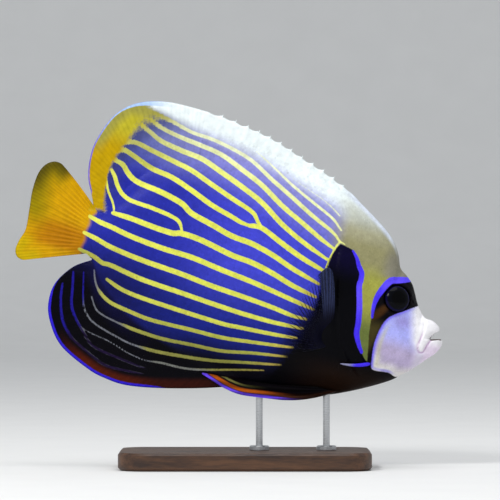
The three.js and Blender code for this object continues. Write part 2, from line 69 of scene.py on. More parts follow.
# Side outline of the flesh: height of back and belly along the length
BACK_LINE = [
    (0, 15.2), (5, 18), (13, 34), (25, 52), (41, 66), (61, 75.5), (85, 81), (110, 83.5), (135, 83),
    (155, 80.5), (172, 73.5), (187, 65.2), (198, 58.2), (206, 51.2), (211, 43.5), (214.2, 36.2),
    (220, 32), (225.5, 27.2), (229.4, 21), (231.8, 16.6), (233.9, 13.6), (236.3, 10.8), (238, 8.8),
]
BELLY_LINE = [
    (0, -15), (6, -18.4), (14, -29), (26, -39), (46, -50), (70, -58.5), (95, -65.5), (120, -71),
    (135, -72.8), (150, -72.6), (165, -70.5), (180, -66.6), (194, -61.6), (213, -51.8), (229.5, -41.4),
    (235.6, -35.6), (238, -33.4),
]

# Margin of chin, lips and nose before the front of those outlines: place, and height it is fanned from
SNOUT_ROOT_X = 238.0
SNOUT_MARGIN = [
    (238, -33.4, -33.4), (239.8, -31.9, -31.4), (244.9, -26, -26.4), (249.2, -20.6, -22.2),
    (253.5, -15.8, -18.6), (256.1, -11.2, -15.6), (256.9, -7, -13), (255.9, -4.5, -11.6),
    (253.6, -4.6, -10.7), (251, -5.5, -9.5), (248.3, -6.3, -8), (248.5, -4.4, -6.2), (250, -2, -4.4),
    (251.4, -0.3, -3.2), (252.5, 1.5, -2), (251.8, 3.4, 0), (249.2, 5.3, 2.4), (245.6, 6.7, 4.8),
    (241.3, 6.9, 6.8), (238.2, 8.7, 8.8),
]
SNOUT_COLUMNS = 30
SNOUT_NARROWING = 0.031

# Greatest half width of the flesh, and how sharply it closes towards back and belly
WIDTH_LINE = [
    (0, 5), (8, 7.2), (20, 10.4), (40, 14.4), (70, 18.4), (100, 21), (130, 22.8), (160, 23.6),
    (180, 23.2), (198, 21.4), (214, 18.6), (226, 15.2), (236, 11.8), (244, 8.8),
]
KEEL_LINE = [(0, 0.55), (20, 0.78), (150, 0.8), (175, 0.66), (200, 0.56), (244, 0.5)]
SECTION_POWER = 2.2
COAT_DEPTH = 0.2

# Fin margins seen from the side, from the front of each fin round to its rear end
DORSAL_MARGIN = [
    (175.5, 71.8), (166.7, 77), (153.8, 82.4), (142.4, 86.6), (131.3, 89.7), (109.5, 96.6), (93.7, 100),
    (80.9, 101.6), (66.1, 103.4), (45.1, 103.9), (24.5, 102.6), (5.5, 96.1), (-7.6, 83.5), (-15.1, 63),
    (-15.6, 48), (-13, 36), (-8.7, 27.6), (-6, 22.4), (-3.8, 17.6), (-1, 14.2), (3.4, 16.2),
]
DORSAL_FRONT_X = 175.6
DORSAL_REAR_X = 3.4
DORSAL_SHARES = [(0, 0), (0.3, 0.225), (0.6, 0.46), (0.8, 0.71), (1, 1)]
DORSAL_SPINES = 14
DORSAL_RAYS = 20
SPINY_SHARE = 0.6
ANAL_MARGIN = [
    (135, -72.8), (127, -74.9), (116, -79), (102.5, -83.6), (83, -89.3), (64.6, -93.8), (49.5, -96),
    (37.4, -95.3), (25.7, -93), (7, -85.4), (-2.8, -78.7), (-10.4, -69), (-15.1, -59.3), (-16.4, -48.7),
    (-15, -40.5), (-10.8, -32.4), (-4.6, -24.8), (5.2, -18),
]
ANAL_FRONT_X = 135.0
ANAL_REAR_X = 5.2
ANAL_RAYS = 22
TAIL_MARGIN = [
    (-36.5, -29.6), (-41.5, -31.4), (-46, -30.2), (-48.4, -25.6), (-47.6, -18.6), (-45.4, -10),
    (-46.9, 4.8), (-48.2, 15.2), (-48.3, 24.5), (-47.2, 31.6), (-44.2, 37.4), (-39.4, 40.8),
    (-34.4, 40.9), (-30.6, 38.8),
]
TAIL_RAYS = 19
TAIL_BOW = 0.6

# Eye
EYE_X = 217.5
EYE_Z = 14.7


def smooth(value, low, high):
    """0 below low, 1 above high, eased between; low may be the greater."""
    share = np.clip((np.asarray(value, float) - low) / (high - low), 0, 1)
    return share * share * (3 - 2 * share)


def swell(away, width):
    """1 where away is 0, falling off on both sides over about a width."""
    return np.exp(-(np.asarray(away) / width) ** 2)


def through(points):
    """Cubic through (place, value) pairs, as a function of the place."""
    place, value = np.array(points, float).T
    index = np.arange(len(place))
    before = np.maximum(index - 1, 0)
    after = np.minimum(index + 1, len(place) - 1)
    slope = (value[after] - value[before]) / (place[after] - place[before])

    def at(x):
        x = np.clip(np.asarray(x, float), place[0], place[-1])
        i = np.clip(np.searchsorted(place, x, side="right") - 1, 0, len(place) - 2)
        span = place[i + 1] - place[i]
        t = (x - place[i]) / span
        lead = t * (1 - t) ** 2 * span * slope[i]
        trail = t * t * (t - 1) * span * slope[i + 1]
        return value[i] + (value[i + 1] - value[i]) * t * t * (3 - 2 * t) + lead + trail

    return at


class Route:
    """Smooth line through side-view points, read by the share of its length."""

    def __init__(self, points, fineness=10):
        points = np.array(points, float)
        index = np.arange(len(points))
        fine = np.linspace(0, len(points) - 1, fineness * (len(points) - 1) + 1)
        columns = [through(np.stack([index, column], 1))(fine) for column in points.T]
        self.line = np.stack(columns, 1)
        steps = np.linalg.norm(np.diff(self.line, axis=0), axis=1)
        self.gone = np.concatenate([[0], np.cumsum(steps)])
        self.length = self.gone[-1]
        self.shares = self.gone[::fineness] / self.length

    def at(self, share):
        place = np.asarray(share) * self.length
        return np.stack([np.interp(place, self.gone, column) for column in self.line.T], -1)

    def nearest(self, x, z, reach=8.0):
        """Distance to the line and the share of its length there, for the points within reach."""
        distance = np.full(x.shape, 1e3)
        share = np.zeros(x.shape)
        low = self.line.min(0) - reach
        high = self.line.max(0) + reach
        near = np.nonzero((x > low[0]) & (x < high[0]) & (z > low[1]) & (z < high[1]))[0]
        if not len(near):
            return distance, share
        px, pz = x[near], z[near]
        best = np.full(len(near), 1e3)
        where = np.zeros(len(near))
        steps = zip(self.line[:-1], self.line[1:], self.gone[:-1], self.gone[1:])
        for (ax, az), (bx, bz), gone, on in steps:
            dx, dz = bx - ax, bz - az
            t = np.clip(((px - ax) * dx + (pz - az) * dz) / (dx * dx + dz * dz + 1e-12), 0, 1)
            d = np.hypot(px - ax - t * dx, pz - az - t * dz)
            closer = d < best
            best = np.where(closer, d, best)
            where = np.where(closer, gone + t * (on - gone), where)
        distance[near] = best
        share[near] = where / self.length
        return distance, share


class Patch(Route):
    """Closed side-view outline."""

    def __init__(self, points, fineness=8):
        super().__init__(list(points) + [points[0]], fineness)

    def inside(self, x, z, reach=40.0):
        """Distance in from the outline in millimetres, negative outside it."""
        distance, _ = self.nearest(x, z, reach)
        crossed = np.zeros(x.shape, bool)
        for (ax, az), (bx, bz) in zip(self.line[:-1], self.line[1:]):
            if az != bz:
                over = (az > z) != (bz > z)
                crossed ^= over & (x < (bx - ax) * (z - az) / (bz - az) + ax)
        return np.where(crossed, distance, -distance)


back_at = through(BACK_LINE)
belly_at = through(BELLY_LINE)
width_at = through(WIDTH_LINE)
keel_at = through(KEEL_LINE)
dorsal_margin = Route(DORSAL_MARGIN)
anal_margin = Route(ANAL_MARGIN)
tail_margin = Route(TAIL_MARGIN)
snout_margin = Route([(x, z) for x, z, _ in SNOUT_MARGIN])
dorsal_share_at = through(DORSAL_SHARES)


def to_world(points):
    """Fish millimetres to the frame's metres."""
    x, y, z = np.moveaxis(np.asarray(points, float), -1, 0)
    c, s = math.cos(NOSE_DOWN), math.sin(NOSE_DOWN)
    return np.stack([x * c + z * s + TAIL_ROOT_X, y, z * c - x * s + TAIL_ROOT_Z], -1) * MM


def to_fish(points):
    """The frame's metres to fish millimetres."""
    x, y, z = np.moveaxis(np.asarray(points, float) / MM, -1, 0)
    x, z = x - TAIL_ROOT_X, z - TAIL_ROOT_Z
    c, s = math.cos(NOSE_DOWN), math.sin(NOSE_DOWN)
    return np.stack([x * c - z * s, y, x * s + z * c], -1)


def linear(code):
    """Linear colour of an sRGB hex code."""
    values = [int(code[i:i + 2], 16) / 255 for i in (1, 3, 5)]
    return tuple(v / 12.92 if v <= 0.04045 else ((v + 0.055) / 1.055) ** 2.4 for v in values)


def blend(first, second, share):
    """Colours turned from the first to the second by a share for each point."""
    first, second = np.asarray(first, float), np.asarray(second, float)
    return first + (second - first) * np.asarray(share)[..., None]


# Shape of the skin

# Points of a cross line on a fin and on the flank, rows kept of it, columns of the tail fin, and the
# distance between columns along the fish
FIN_SAMPLES = 60
FLANK_SAMPLES = 220
SKIN_ROWS = 144
TAIL_COLUMNS = 38
SKIN_SPACING = [
    (0, 0.5), (20, 0.54), (60, 1.1), (168, 1.4), (186, 0.8), (203, 0.6), (217, 0.6), (238, 0.62),
]

# Half thickness of the fins' web, spine tips over the margin, web between them, and height of the rays
FIN_EDGE = 0.36
SPINE_TIP_RISE = 1.3
WEB_DIP = 0.7
RAY_RISE = 0.1

# Rear edge of the cheek plate with the spine at its corner, and of the gill cover
CHEEK_PLATE = [
    (182, 36), (187.5, 29.7), (190.3, 22), (190.2, 12), (192.8, 2.4), (195.5, -8.8), (196.9, -17),
    (200.4, -25), (205, -31), (211, -35.5), (222, -38), (238, -28), (240, 0), (228, 24), (205, 36),
]
GILL_COVER = [
    (173, 44), (170.6, 36), (171, 28), (173, 20), (178, 2), (183, -14), (189, -26), (197, -36),
    (207, -44.5), (216, -47), (232, -44), (232, 44),
]

# Nostrils with their radius, root of the side fin, ring round the eye and the hollow in the muzzle
NOSTRILS = [(228.3, 15.6, 0.9), (226.2, 19.2, 0.7)]
PECTORAL_BASE = (179.5, -20.0)
ORBIT_RIM = 10.6
ORBIT_DEPTH = 5.5
MUZZLE_HOLLOW = (226.5, 1)

# Upper lip with the lobe of its jawbone, and lower lip, both carried on past the mouth's margin
UPPER_LIP = [
    (240.9, 7.4), (241.7, 2.3), (242.1, -1.5), (241.5, -8.2), (240.9, -12.9), (242.5, -16.3),
    (244.6, -16.2), (245.4, -14.3), (246.4, -10.7), (247.8, -7), (250.6, -4), (259, -1), (258, 10),
    (247, 13),
]
LOWER_LIP = [
    (246.4, -12.6), (249.2, -14.9), (254.5, -15.6), (262, -12), (262, -3), (252, -4), (248.8, -6.9),
    (247, -9.8),
]

cheek_plate = Patch(CHEEK_PLATE)
gill_cover = Patch(GILL_COVER)
upper_lip = Patch(UPPER_LIP)
lower_lip = Patch(LOWER_LIP)


def contour_share(line_at, front, rear):
    """Share of the way from front to rear along an outline, as a function of the place."""
    x = np.linspace(front, rear, 800)
    gone = np.concatenate([[0], np.cumsum(np.hypot(np.diff(x), np.diff(line_at(x))))])
    return lambda at: np.interp(-np.asarray(at), -x, gone / gone[-1])


dorsal_share = contour_share(back_at, DORSAL_FRONT_X, DORSAL_REAR_X)
anal_share = contour_share(belly_at, ANAL_FRONT_X, ANAL_REAR_X)


def dorsal_phase(share):
    """Number of spines and rays passed on the way back along the fin."""
    spiny = np.clip(share / SPINY_SHARE, 0, 1) * DORSAL_SPINES
    soft = np.clip((share - SPINY_SHARE) / (1 - SPINY_SHARE), 0, 1) * DORSAL_RAYS
    return spiny + soft


def fin_line(root, tip, held, root_half, bow):
    """Points, half thickness and share of the height, from a fin's root to its margin."""
    t = np.linspace(0, 1, FIN_SAMPLES)
    tip = np.where(held[:, None], tip, root)
    along = tip - root
    length = np.linalg.norm(along, axis=1)
    across = np.stack([-along[:, 1], along[:, 0]], -1) / np.maximum(length, 1e-6)[:, None]
    place = root[:, None] + along[:, None] * t[None, :, None]
    place += across[:, None] * (bow[:, None] * 4 * t * (1 - t))[..., None]
    grown = smooth(length, 0, 7)
    rim = np.sqrt(np.clip((1 - t)[None] * length[:, None] / 0.7, 0, 1))
    half = (root_half[:, None] * (1 - t)[None] ** 1.6 + FIN_EDGE) * grown[:, None] * rim
    return place, half, np.broadcast_to(t, half.shape) * smooth(length, 0, 3)[:, None]


def cross_lines(x):
    """Skin across the fish at places x, from the anal fin's margin to the back fin's."""
    top, bottom = back_at(x), belly_at(x)
    up, down = dorsal_share(x), anal_share(x)
    soft = np.clip((up - SPINY_SHARE) / (1 - SPINY_SHARE), 0, 1)
    margin_share = dorsal_share_at(up)
    tip = dorsal_margin.at(margin_share)
    ahead = dorsal_margin.at(np.clip(margin_share + 0.004, 0, 1))
    ahead -= dorsal_margin.at(np.clip(margin_share - 0.004, 0, 1))
    out = np.stack([ahead[:, 1], -ahead[:, 0]], -1)
    out /= np.maximum(np.linalg.norm(ahead, axis=1), 1e-6)[:, None]
    after_spine = dorsal_phase(up) % 1
    saw = SPINE_TIP_RISE * np.exp(-after_spine * 7) - WEB_DIP * np.sin(math.pi * after_spine) ** 2
    saw *= smooth(up, 0.02, 0.12) * (up < SPINY_SHARE)
    tip = tip + out * saw[:, None]
    dorsal_half = np.where(up < SPINY_SHARE, 1.9, 2.6 - soft)
    dorsal, dorsal_thick, dorsal_reach = fin_line(
        np.stack([x, top], -1), tip, (up > 0) & (up < 1), dorsal_half, 3 * soft * (1 - soft))
    anal, anal_thick, anal_reach = fin_line(
        np.stack([x, bottom], -1), anal_margin.at(down), (down > 0) & (down < 1), 2.4 - down,
        -3 * down * (1 - down))
    turn = np.linspace(-math.pi / 2, math.pi / 2, FLANK_SAMPLES)
    height = np.sin(turn)[None]
    z = (top + bottom)[:, None] / 2 + height * (top - bottom)[:, None] / 2
    flesh = np.clip(1 - np.abs(height) ** SECTION_POWER, 0, 1) ** keel_at(x)[:, None]
    flesh = width_at(x)[:, None] * flesh
    flesh = np.clip(flesh - COAT_DEPTH * smooth(flesh, 0, 1.5), 0, None)
    wedge_up = dorsal_thick[:, :1] * smooth(top[:, None] - z, 13, 0)
    wedge_down = anal_thick[:, :1] * smooth(z - bottom[:, None], 13, 0)
    flank_half = np.sqrt(flesh ** 2 + wedge_up ** 2 + wedge_down ** 2)
    flank = np.stack([np.broadcast_to(x[:, None], z.shape), z], -1)
    none = np.zeros(z.shape)
    return {
        "x": np.concatenate([anal[:, ::-1, 0], flank[..., 0], dorsal[..., 0]], 1),
        "z": np.concatenate([anal[:, ::-1, 1], flank[..., 1], dorsal[..., 1]], 1),
        "half": np.concatenate([anal_thick[:, ::-1], flank_half, dorsal_thick], 1),
        "reach": np.concatenate([anal_reach[:, ::-1], none, dorsal_reach], 1),
        "upper": np.concatenate([np.zeros(anal_thick.shape), none + 0.5, np.ones(dorsal_thick.shape)], 1),
    }


def lengths(lines):
    """Length gone along each cross line, over its three-dimensional course."""
    steps = np.sqrt(sum(np.diff(lines[key], axis=1) ** 2 for key in ("x", "z", "half")))
    return np.concatenate([np.zeros((len(steps), 1)), np.cumsum(steps, axis=1)], 1)


def relief(x, z):
    """Small forms of head and flank, in millimetres added to the half width."""
    from_eye = np.hypot(x - EYE_X, z - EYE_Z)
    form = 0.7 * swell(from_eye - ORBIT_RIM, 1.2) - ORBIT_DEPTH * smooth(from_eye, 9.7, 8.3)
    inside = cheek_plate.inside(x, z, 16)
    edge = 0.7 * smooth(inside, -0.7, 1.1) * np.exp(-np.clip(inside, 0, None) / 7)
    edge -= 0.2 * swell(inside + 1, 0.9)
    form += edge * smooth(z, 34, 26) * smooth(x, 218, 208)
    inside = gill_cover.inside(x, z, 16)
    edge = 0.85 * smooth(inside, -1, 1.4) * np.exp(-np.clip(inside, 0, None) / 6)
    edge -= 0.35 * swell(inside + 1.2, 1.2)
    form += edge * smooth(z, 42, 32) * smooth(x, 212, 196)
    inside = upper_lip.inside(x, z, 8)
    form += 0.95 * smooth(inside, -0.3, 1.2) - 0.4 * swell(inside + 0.7, 0.5)
    inside = lower_lip.inside(x, z, 8)
    form += 0.55 * smooth(inside, -0.3, 1.4) - 0.25 * swell(inside + 0.7, 0.6)
    hollow_x, hollow_z = MUZZLE_HOLLOW
    form -= 0.8 * swell(x - hollow_x, 5) * swell(z - hollow_z, 3.2)
    for nx, nz, radius in NOSTRILS:
        away = np.hypot(x - nx, z - nz)
        form += 0.25 * swell(away - radius * 1.8, 0.6) - 0.9 * smooth(away, radius * 1.3, radius * 0.4)
    base_x, base_z = PECTORAL_BASE
    form += 1.3 * swell(x - base_x, 4) * swell(z - base_z, 9)
    return form


def snout_columns(body):
    """Columns fanned from the front of the body's table to the margin of chin, lips and nose."""
    root = np.stack([body["x"][-1], body["z"][-1]], -1)
    heights = [height for _, _, height in SNOUT_MARGIN]
    way = snout_margin.at(through(np.stack([heights, snout_margin.shares], 1))(root[:, 1])) - root
    t = np.sin(np.linspace(0, math.pi / 2, SNOUT_COLUMNS + 1))[1:, None]
    place = root[None] + way[None] * t[..., None]
    narrowing = 1 - SNOUT_NARROWING * np.linalg.norm(way, axis=1) * t
    half = body["half"][-1] * narrowing * np.sqrt(np.clip(1 - t ** 4, 0, 1))
    none = np.zeros(half.shape)
    return {"x": place[..., 0], "z": place[..., 1], "half": half, "reach": none, "ray": none, "tail": none}


def skin_table():
    """Columns and rows of the skin's one flank: places, half thickness, fin rays and their reach."""
    fine = np.linspace(0, SNOUT_ROOT_X, 4000)
    wanted = np.concatenate([[0], np.cumsum(np.diff(fine) / through(SKIN_SPACING)(fine[1:]))])
    x = np.interp(np.linspace(0, wanted[-1], round(wanted[-1]) + 1), wanted, fine)
    lines = cross_lines(x)
    gone = lengths(lines)
    share = np.linspace(0, 1, SKIN_ROWS + 1)
    body = {
        key: np.stack([np.interp(share * way[-1], way, line) for way, line in zip(gone, lines[key])])
        for key in lines
    }
    phase_up = np.broadcast_to(dorsal_phase(dorsal_share(x))[:, None], body["x"].shape)
    phase_down = np.broadcast_to(anal_share(x)[:, None] * ANAL_RAYS, body["x"].shape)
    body["ray"] = np.where(body["upper"] > 0.25, phase_up, phase_down)
    body["tail"] = np.zeros(body["x"].shape)
    front = snout_columns(body)
    body = {key: np.concatenate([body[key], front[key]]) for key in front}
    form = relief(body["x"].ravel(), body["z"].ravel()).reshape(body["x"].shape)
    body["half"] = body["half"] + form * smooth(body["half"], 0.5, 4)
    body["half"] *= 1 + RAY_RISE * np.cos(2 * math.pi * body["ray"]) * smooth(body["reach"], 0.02, 0.3)
    t = np.linspace(1, 0, TAIL_COLUMNS + 1)[:-1, None]
    root = np.stack([np.zeros(SKIN_ROWS + 1), body["z"][0]], -1)
    along = tail_margin.at(share) - root
    across = np.stack([-along[:, 1], along[:, 0]], -1) / np.linalg.norm(along, axis=1)[:, None]
    place = root[None] + along[None] * t[..., None]
    place += across[None] * (-TAIL_BOW * share[None] * 4 * t * (1 - t))[..., None]
    rim = np.sqrt(np.clip(1 - np.abs(2 * share - 1) ** 16, 0, 1))[None]
    half = np.sqrt((body["half"][0][None] * (1 - t) ** 1.7) ** 2 + (0.4 * rim * smooth(t, 0, 0.2)) ** 2)
    half *= 1 + 2 * RAY_RISE * np.cos(2 * math.pi * share * TAIL_RAYS) * smooth(t, 0.1, 0.4)
    half[0] = 0
    tail = {
        "x": place[..., 0],
        "z": place[..., 1],
        "half": half,
        "reach": np.broadcast_to(t, half.shape),
        "ray": np.broadcast_to(share * TAIL_RAYS, half.shape),
        "tail": np.ones(half.shape),
    }
    return {key: np.concatenate([tail[key], body[key]]) for key in tail}


# Markings: half width in millimetres and course of each stripe, from the tail forwards
YELLOW_STRIPES = [
    (0.8, [(122, 76.5), (131, 73), (140, 70), (148, 67.3), (156.6, 63.3), (163.5, 59)]),
    (1.1, [(94, 87), (108, 80.2), (125.3, 70.9), (142, 63.4), (158.7, 56.1), (167, 49.6)]),
    (1.5, [(16, 93.2), (32.3, 90.6), (47.8, 87.1), (62.6, 86.3), (78, 83.8), (93.8, 79.4), (111, 70.5),
           (127.7, 62.5), (144.7, 54.1), (161.3, 46.9), (167.5, 42.3)]),
    (1.7, [(17, 88), (27, 84.1), (42, 81.5), (57.2, 79.9), (72.4, 77.6), (88.7, 71.6), (105.2, 64.8),
           (122.6, 54.9), (139.4, 47.2), (156, 39.6), (166.3, 35.7)]),
    (1.75, [(12.5, 82.2), (21.2, 78.5), (29.4, 75.2), (44.7, 72.7), (59.8, 71), (75.8, 65.7), (92, 59.9),
            (108.6, 53), (126.2, 42.4), (143, 34.7), (159.2, 28.8), (163.8, 27.4)]),
    (1.65, [(4, 67), (12, 69.3), (24.5, 67.1), (40, 64.2), (55.3, 61.2), (71.4, 55.6), (87.5, 50.2),
            (103.7, 44.9), (109.5, 39.5), (113.5, 35.9)]),
    (1.75, [(104, 35.2), (113.5, 35.9), (130, 29.5), (146, 23.7), (163.5, 19)]),
    (1.7, [(0.5, 60), (6, 62), (14, 59.7), (28, 55), (43, 52.8), (59, 47.8), (75.4, 41.8), (91, 37.8),
           (99, 35.7), (106.4, 35.3)]),
    (1.85, [(1.2, 53.6), (7.5, 52), (12.4, 47.6), (17.5, 44.3), (24.2, 42.5), (39.3, 40.7), (54.9, 37.1),
            (63.5, 32.4), (79.2, 28.7), (94.8, 24.9), (109.7, 23.6), (125.3, 20.1), (141.4, 14.8),
            (162, 9.5)]),
    (1.4, [(0.8, 46.5), (4.4, 42.5), (8.3, 36.6), (13.2, 32), (20.7, 29.3), (35.6, 28.4), (50.7, 26.5),
           (57, 24), (60.5, 18.5)]),
    (0.75, [(-2.1, 41.8), (2.4, 32.2), (8.3, 24.3), (11.1, 18.6)]),
    (1.85, [(10.5, 17.6), (24, 17.3), (39, 16), (54, 15.4), (60.6, 17), (75.5, 16.2), (98.5, 12.1),
            (113.4, 10.9), (129, 7.8), (144.6, 3.5), (162.5, 0.2)]),
    (1.75, [(-4.5, 10.8), (3, 9), (12.3, 7.8), (27.6, 5.3), (50, 3.4), (72, 2.9), (94.6, 0.3),
            (117, -1.9), (139.8, -5.1), (163.5, -8.6)]),
    (1.7, [(-5.2, -1.1), (5, -3.2), (16.3, -5.9), (38.9, -8.5), (68.5, -10.2), (90.9, -12.3),
           (113, -13.5), (135.4, -15), (150.4, -16.7), (160.5, -16.4)]),
    (1.6, [(-5.4, -13.2), (6, -15.5), (13, -18), (19.8, -18.1), (42.5, -21.4), (72, -22.9),
           (94.3, -24.1), (116, -24.9), (138, -24.8), (160, -23.4)]),
    (1.45, [(19, -28.2), (31, -32.1), (46, -33.9), (75.6, -35), (105, -35.6), (119, -34.6),
            (140.5, -32.9), (157.5, -31)]),
    (1.3, [(8.6, -24.5), (12.3, -33.1), (17.6, -38.9), (26, -43.2), (42, -45.7), (57, -47), (86, -45.8),
           (107.6, -45), (128.6, -42.2), (157, -38)]),
    (1.15, [(12.1, -42.9), (15.3, -48), (19.4, -51.7), (28, -54.2), (45, -56.7), (67.5, -57.5),
            (89, -55.8), (110, -54.1), (131, -49.5), (155, -45.3)]),
    (1.1, [(1.9, -27.6), (4.8, -38.9), (8.3, -50.1), (13.7, -57), (21, -61), (34, -64.4), (47, -67),
           (63, -67.4), (84.3, -65.5), (105, -62.6), (126, -57.8), (152.5, -52)]),
    (0.7, [(10, -65.5), (19.1, -67.6), (33.1, -69.7), (47.7, -73.8), (60, -75.4), (72, -74),
           (93.6, -72.3), (127, -63), (142, -59)]),
]
BLUE_ARCS = [
    (0.85, [(-5.1, -29.6), (-2.4, -41), (0.2, -52.4), (5.6, -60.5), (13.2, -68.1), (20, -74.6),
            (28, -77.2), (45.6, -79.4), (63, -81.1)]),
    (0.85, [(-10.1, -39.6), (-8.4, -50), (-4.6, -61), (0, -68.2), (7, -74.6), (15, -78.6), (26.2, -83.6),
            (37, -86.6), (61.8, -85.1)]),
]
STRIPE_TAPER = [(0, 0.7), (0.05, 0.95), (0.45, 1.05), (0.9, 0.9), (1, 0.55)]
MASK_EDGE_LINE = (0.75, [
    (172.5, 40.8), (168.3, 41.4), (166.3, 36.5), (164.6, 28), (163.7, 20), (163.4, 16),
])
MASK_EDGE_TAPER = [(0, 0.4), (0.15, 0.9), (0.75, 1), (1, 0.3)]
GOLD_BAND = [
    (4.8, 17.2), (3, 22), (1.3, 28.3), (-0.4, 38.5), (-0.4, 47), (1.1, 54.7), (3.2, 62), (6.5, 69.6),
    (9.4, 76.5), (13.5, 83.1), (18.4, 87.5), (24.4, 91.7), (34, 96), (46, 99.5), (48, 108), (20, 110),
    (-6, 100), (-18, 82), (-24, 55), (-19, 30), (-10, 16.5),
]
CHEEK_EDGE = [
    (182.4, 34.4), (185.6, 29.2), (188.7, 25), (189.5, 20.1), (189.6, 15.5), (193.5, 2.4), (195.9, -8.8),
    (196.9, -16.4), (200.4, -23.2), (203.7, -27.8),
]
MASK = [
    (169, 40.6), (178.6, 38.6), *CHEEK_EDGE, (208, -32.4), (213, -34), (225, -34), (238, -30),
    (244, -40), (225, -60), (190, -78), (150, -90), (120, -80), (136, -72), (148, -59), (153, -45),
    (156, -39), (158.5, -33), (161.8, -26), (163.6, -14), (164, -1.5), (164.2, 23.4), (166.4, 35.1),
]
CHEEK_LINE = (1.9, [(178.6, 38.2), *CHEEK_EDGE])
CHEEK_LINE_TAPER = [(0, 0.35), (0.2, 0.9), (0.8, 1), (1, 0.6)]
BROW = [(215.1, 27.4), (209.7, 25.3), (206.2, 19.4), (203.6, 12.2), (203, 5.5)]
BROW_LINE = (2.2, [(222.4, 29.8), *BROW, (203.5, 0.5), (204.1, -2.6)])
BROW_LINE_TAPER = [(0, 0.75), (0.15, 1), (0.45, 1.05), (0.7, 0.8), (1, 0.35)]
EYE_PATCH = [
    (222.5, 30), *BROW, (203.5, -1), (204.8, -12), (207.4, -24), (209.6, -33.5), (212.5, -36),
    (216, -30), (218, -10), (226, 6), (240, 12), (238, 18), (231, 27),
]
MUZZLE = [
    (236, 15), (233.4, 13.8), (222.5, 6.3), (216.5, 1.6), (213, -3.7), (211.1, -12.3), (210.7, -21.1),
    (211.9, -30.3), (213.4, -36.4), (217.4, -37.6), (226, -36.6), (235, -37.5), (262, -26), (264, 4),
    (246, 14),
]
TOP_LINE = [
    (-15.1, 63), (-7.6, 83.5), (5.5, 96.1), (24.5, 102.6), (45.1, 103.9), (66.1, 103.4), (93.7, 100),
    (109.5, 96.6), (131.3, 89.7), (153.8, 82.4), (175.5, 71.8), (187, 65.2), (198, 58.2), (206, 51.2),
    (211, 43.5), (214.2, 36.2), (220, 32), (225.5, 27.4), (234, 13.4), (253.6, -8.6),
]
WHITE_DEPTH = [(-5, 0.5), (15, 3), (26, 5), (38, 7), (62, 9), (150, 9), (172, 6), (190, 4), (214, 1)]
WHITE_FADE = [(0, 3), (15, 5), (38, 10), (62, 13), (95, 15), (150, 15)]
MOUTH_GAP = [(255.2, -4.4), (253.6, -4.7), (251, -5.6), (248.3, -6.4), (248.2, -5.2)]

# Millimetres over which a marking's edge is blended, on the lines and round the patches
EDGE_SOFTNESS = 0.3
PATCH_SOFTNESS = 0.4

# Depth in a marking, counted in edge widths, beyond which nothing is blended
FAR_OUTSIDE = 3.0

# Darkening between the rays of the fins and of the tail
WEB_SHADE = 0.08
WEB_SHADE_TAIL = 0.14


def courses(lines, taper=STRIPE_TAPER):
    """Half width, course and taper of each line in a list."""
    return [(half, Route(points), through(taper)) for half, points in lines]


stripe_courses = courses(YELLOW_STRIPES)
mask_edge_courses = courses([MASK_EDGE_LINE], MASK_EDGE_TAPER)
arc_courses = courses(BLUE_ARCS)
face_courses = courses([CHEEK_LINE], CHEEK_LINE_TAPER) + courses([BROW_LINE], BROW_LINE_TAPER)
gold_band = Patch(GOLD_BAND)
mask_patch = Patch(MASK)
eye_patch = Patch(EYE_PATCH)
muzzle_patch = Patch(MUZZLE)
mouth_gap = Route(MOUTH_GAP)
top_line = through(TOP_LINE)
white_depth_at = through(WHITE_DEPTH)
white_fade_at = through(WHITE_FADE)


def clipped(depth):
    """Depth over an edge, in its own softness, kept to what the shader's soft step can use."""
    return np.clip(depth, -FAR_OUTSIDE, FAR_OUTSIDE)


def deepest(lines, x, z, narrowing=1.0):
    """How deep inside the nearest of some lines each point lies, in edge widths."""
    depth = np.full(x.shape, -FAR_OUTSIDE)
    for half, route, taper in lines:
        distance, share = route.nearest(x, z)
        depth = np.maximum(depth, (half * narrowing * taper(share) - distance) / EDGE_SOFTNESS)
    return depth


def painted(ground, *coats):
    """Ground with coats laid over it in order, each a colour and its share."""
    for colour, share in coats:
        ground = blend(ground, colour, share)
    return ground


def zones(x, z, tail):
    """What the markings go by at points of the side view: distances from edges, and shares of zones."""
    at = SimpleNamespace(x=x, z=z, on_tail=tail > 0.5)
    at.depth = top_line(x) - z
    at.below = belly_at(x) - z
    at.in_dorsal = smooth(z - back_at(x), -4, 4)
    at.in_anal = smooth(at.below, -1.5, 4)
    solid_to = white_depth_at(x)
    at.white = smooth(at.depth, solid_to + white_fade_at(x), solid_to) * smooth(x, 2, 20)
    at.pale = smooth(at.depth, 58, 18) * smooth(x, 188, 172)
    at.gold = gold_band.inside(x, z, 30)
    at.chest = mask_patch.inside(x, z, 40)
    at.anal_distance, at.anal_share = anal_margin.nearest(x, z, 14)
    at.dorsal_distance, at.dorsal_share = dorsal_margin.nearest(x, z, 12)
    return at


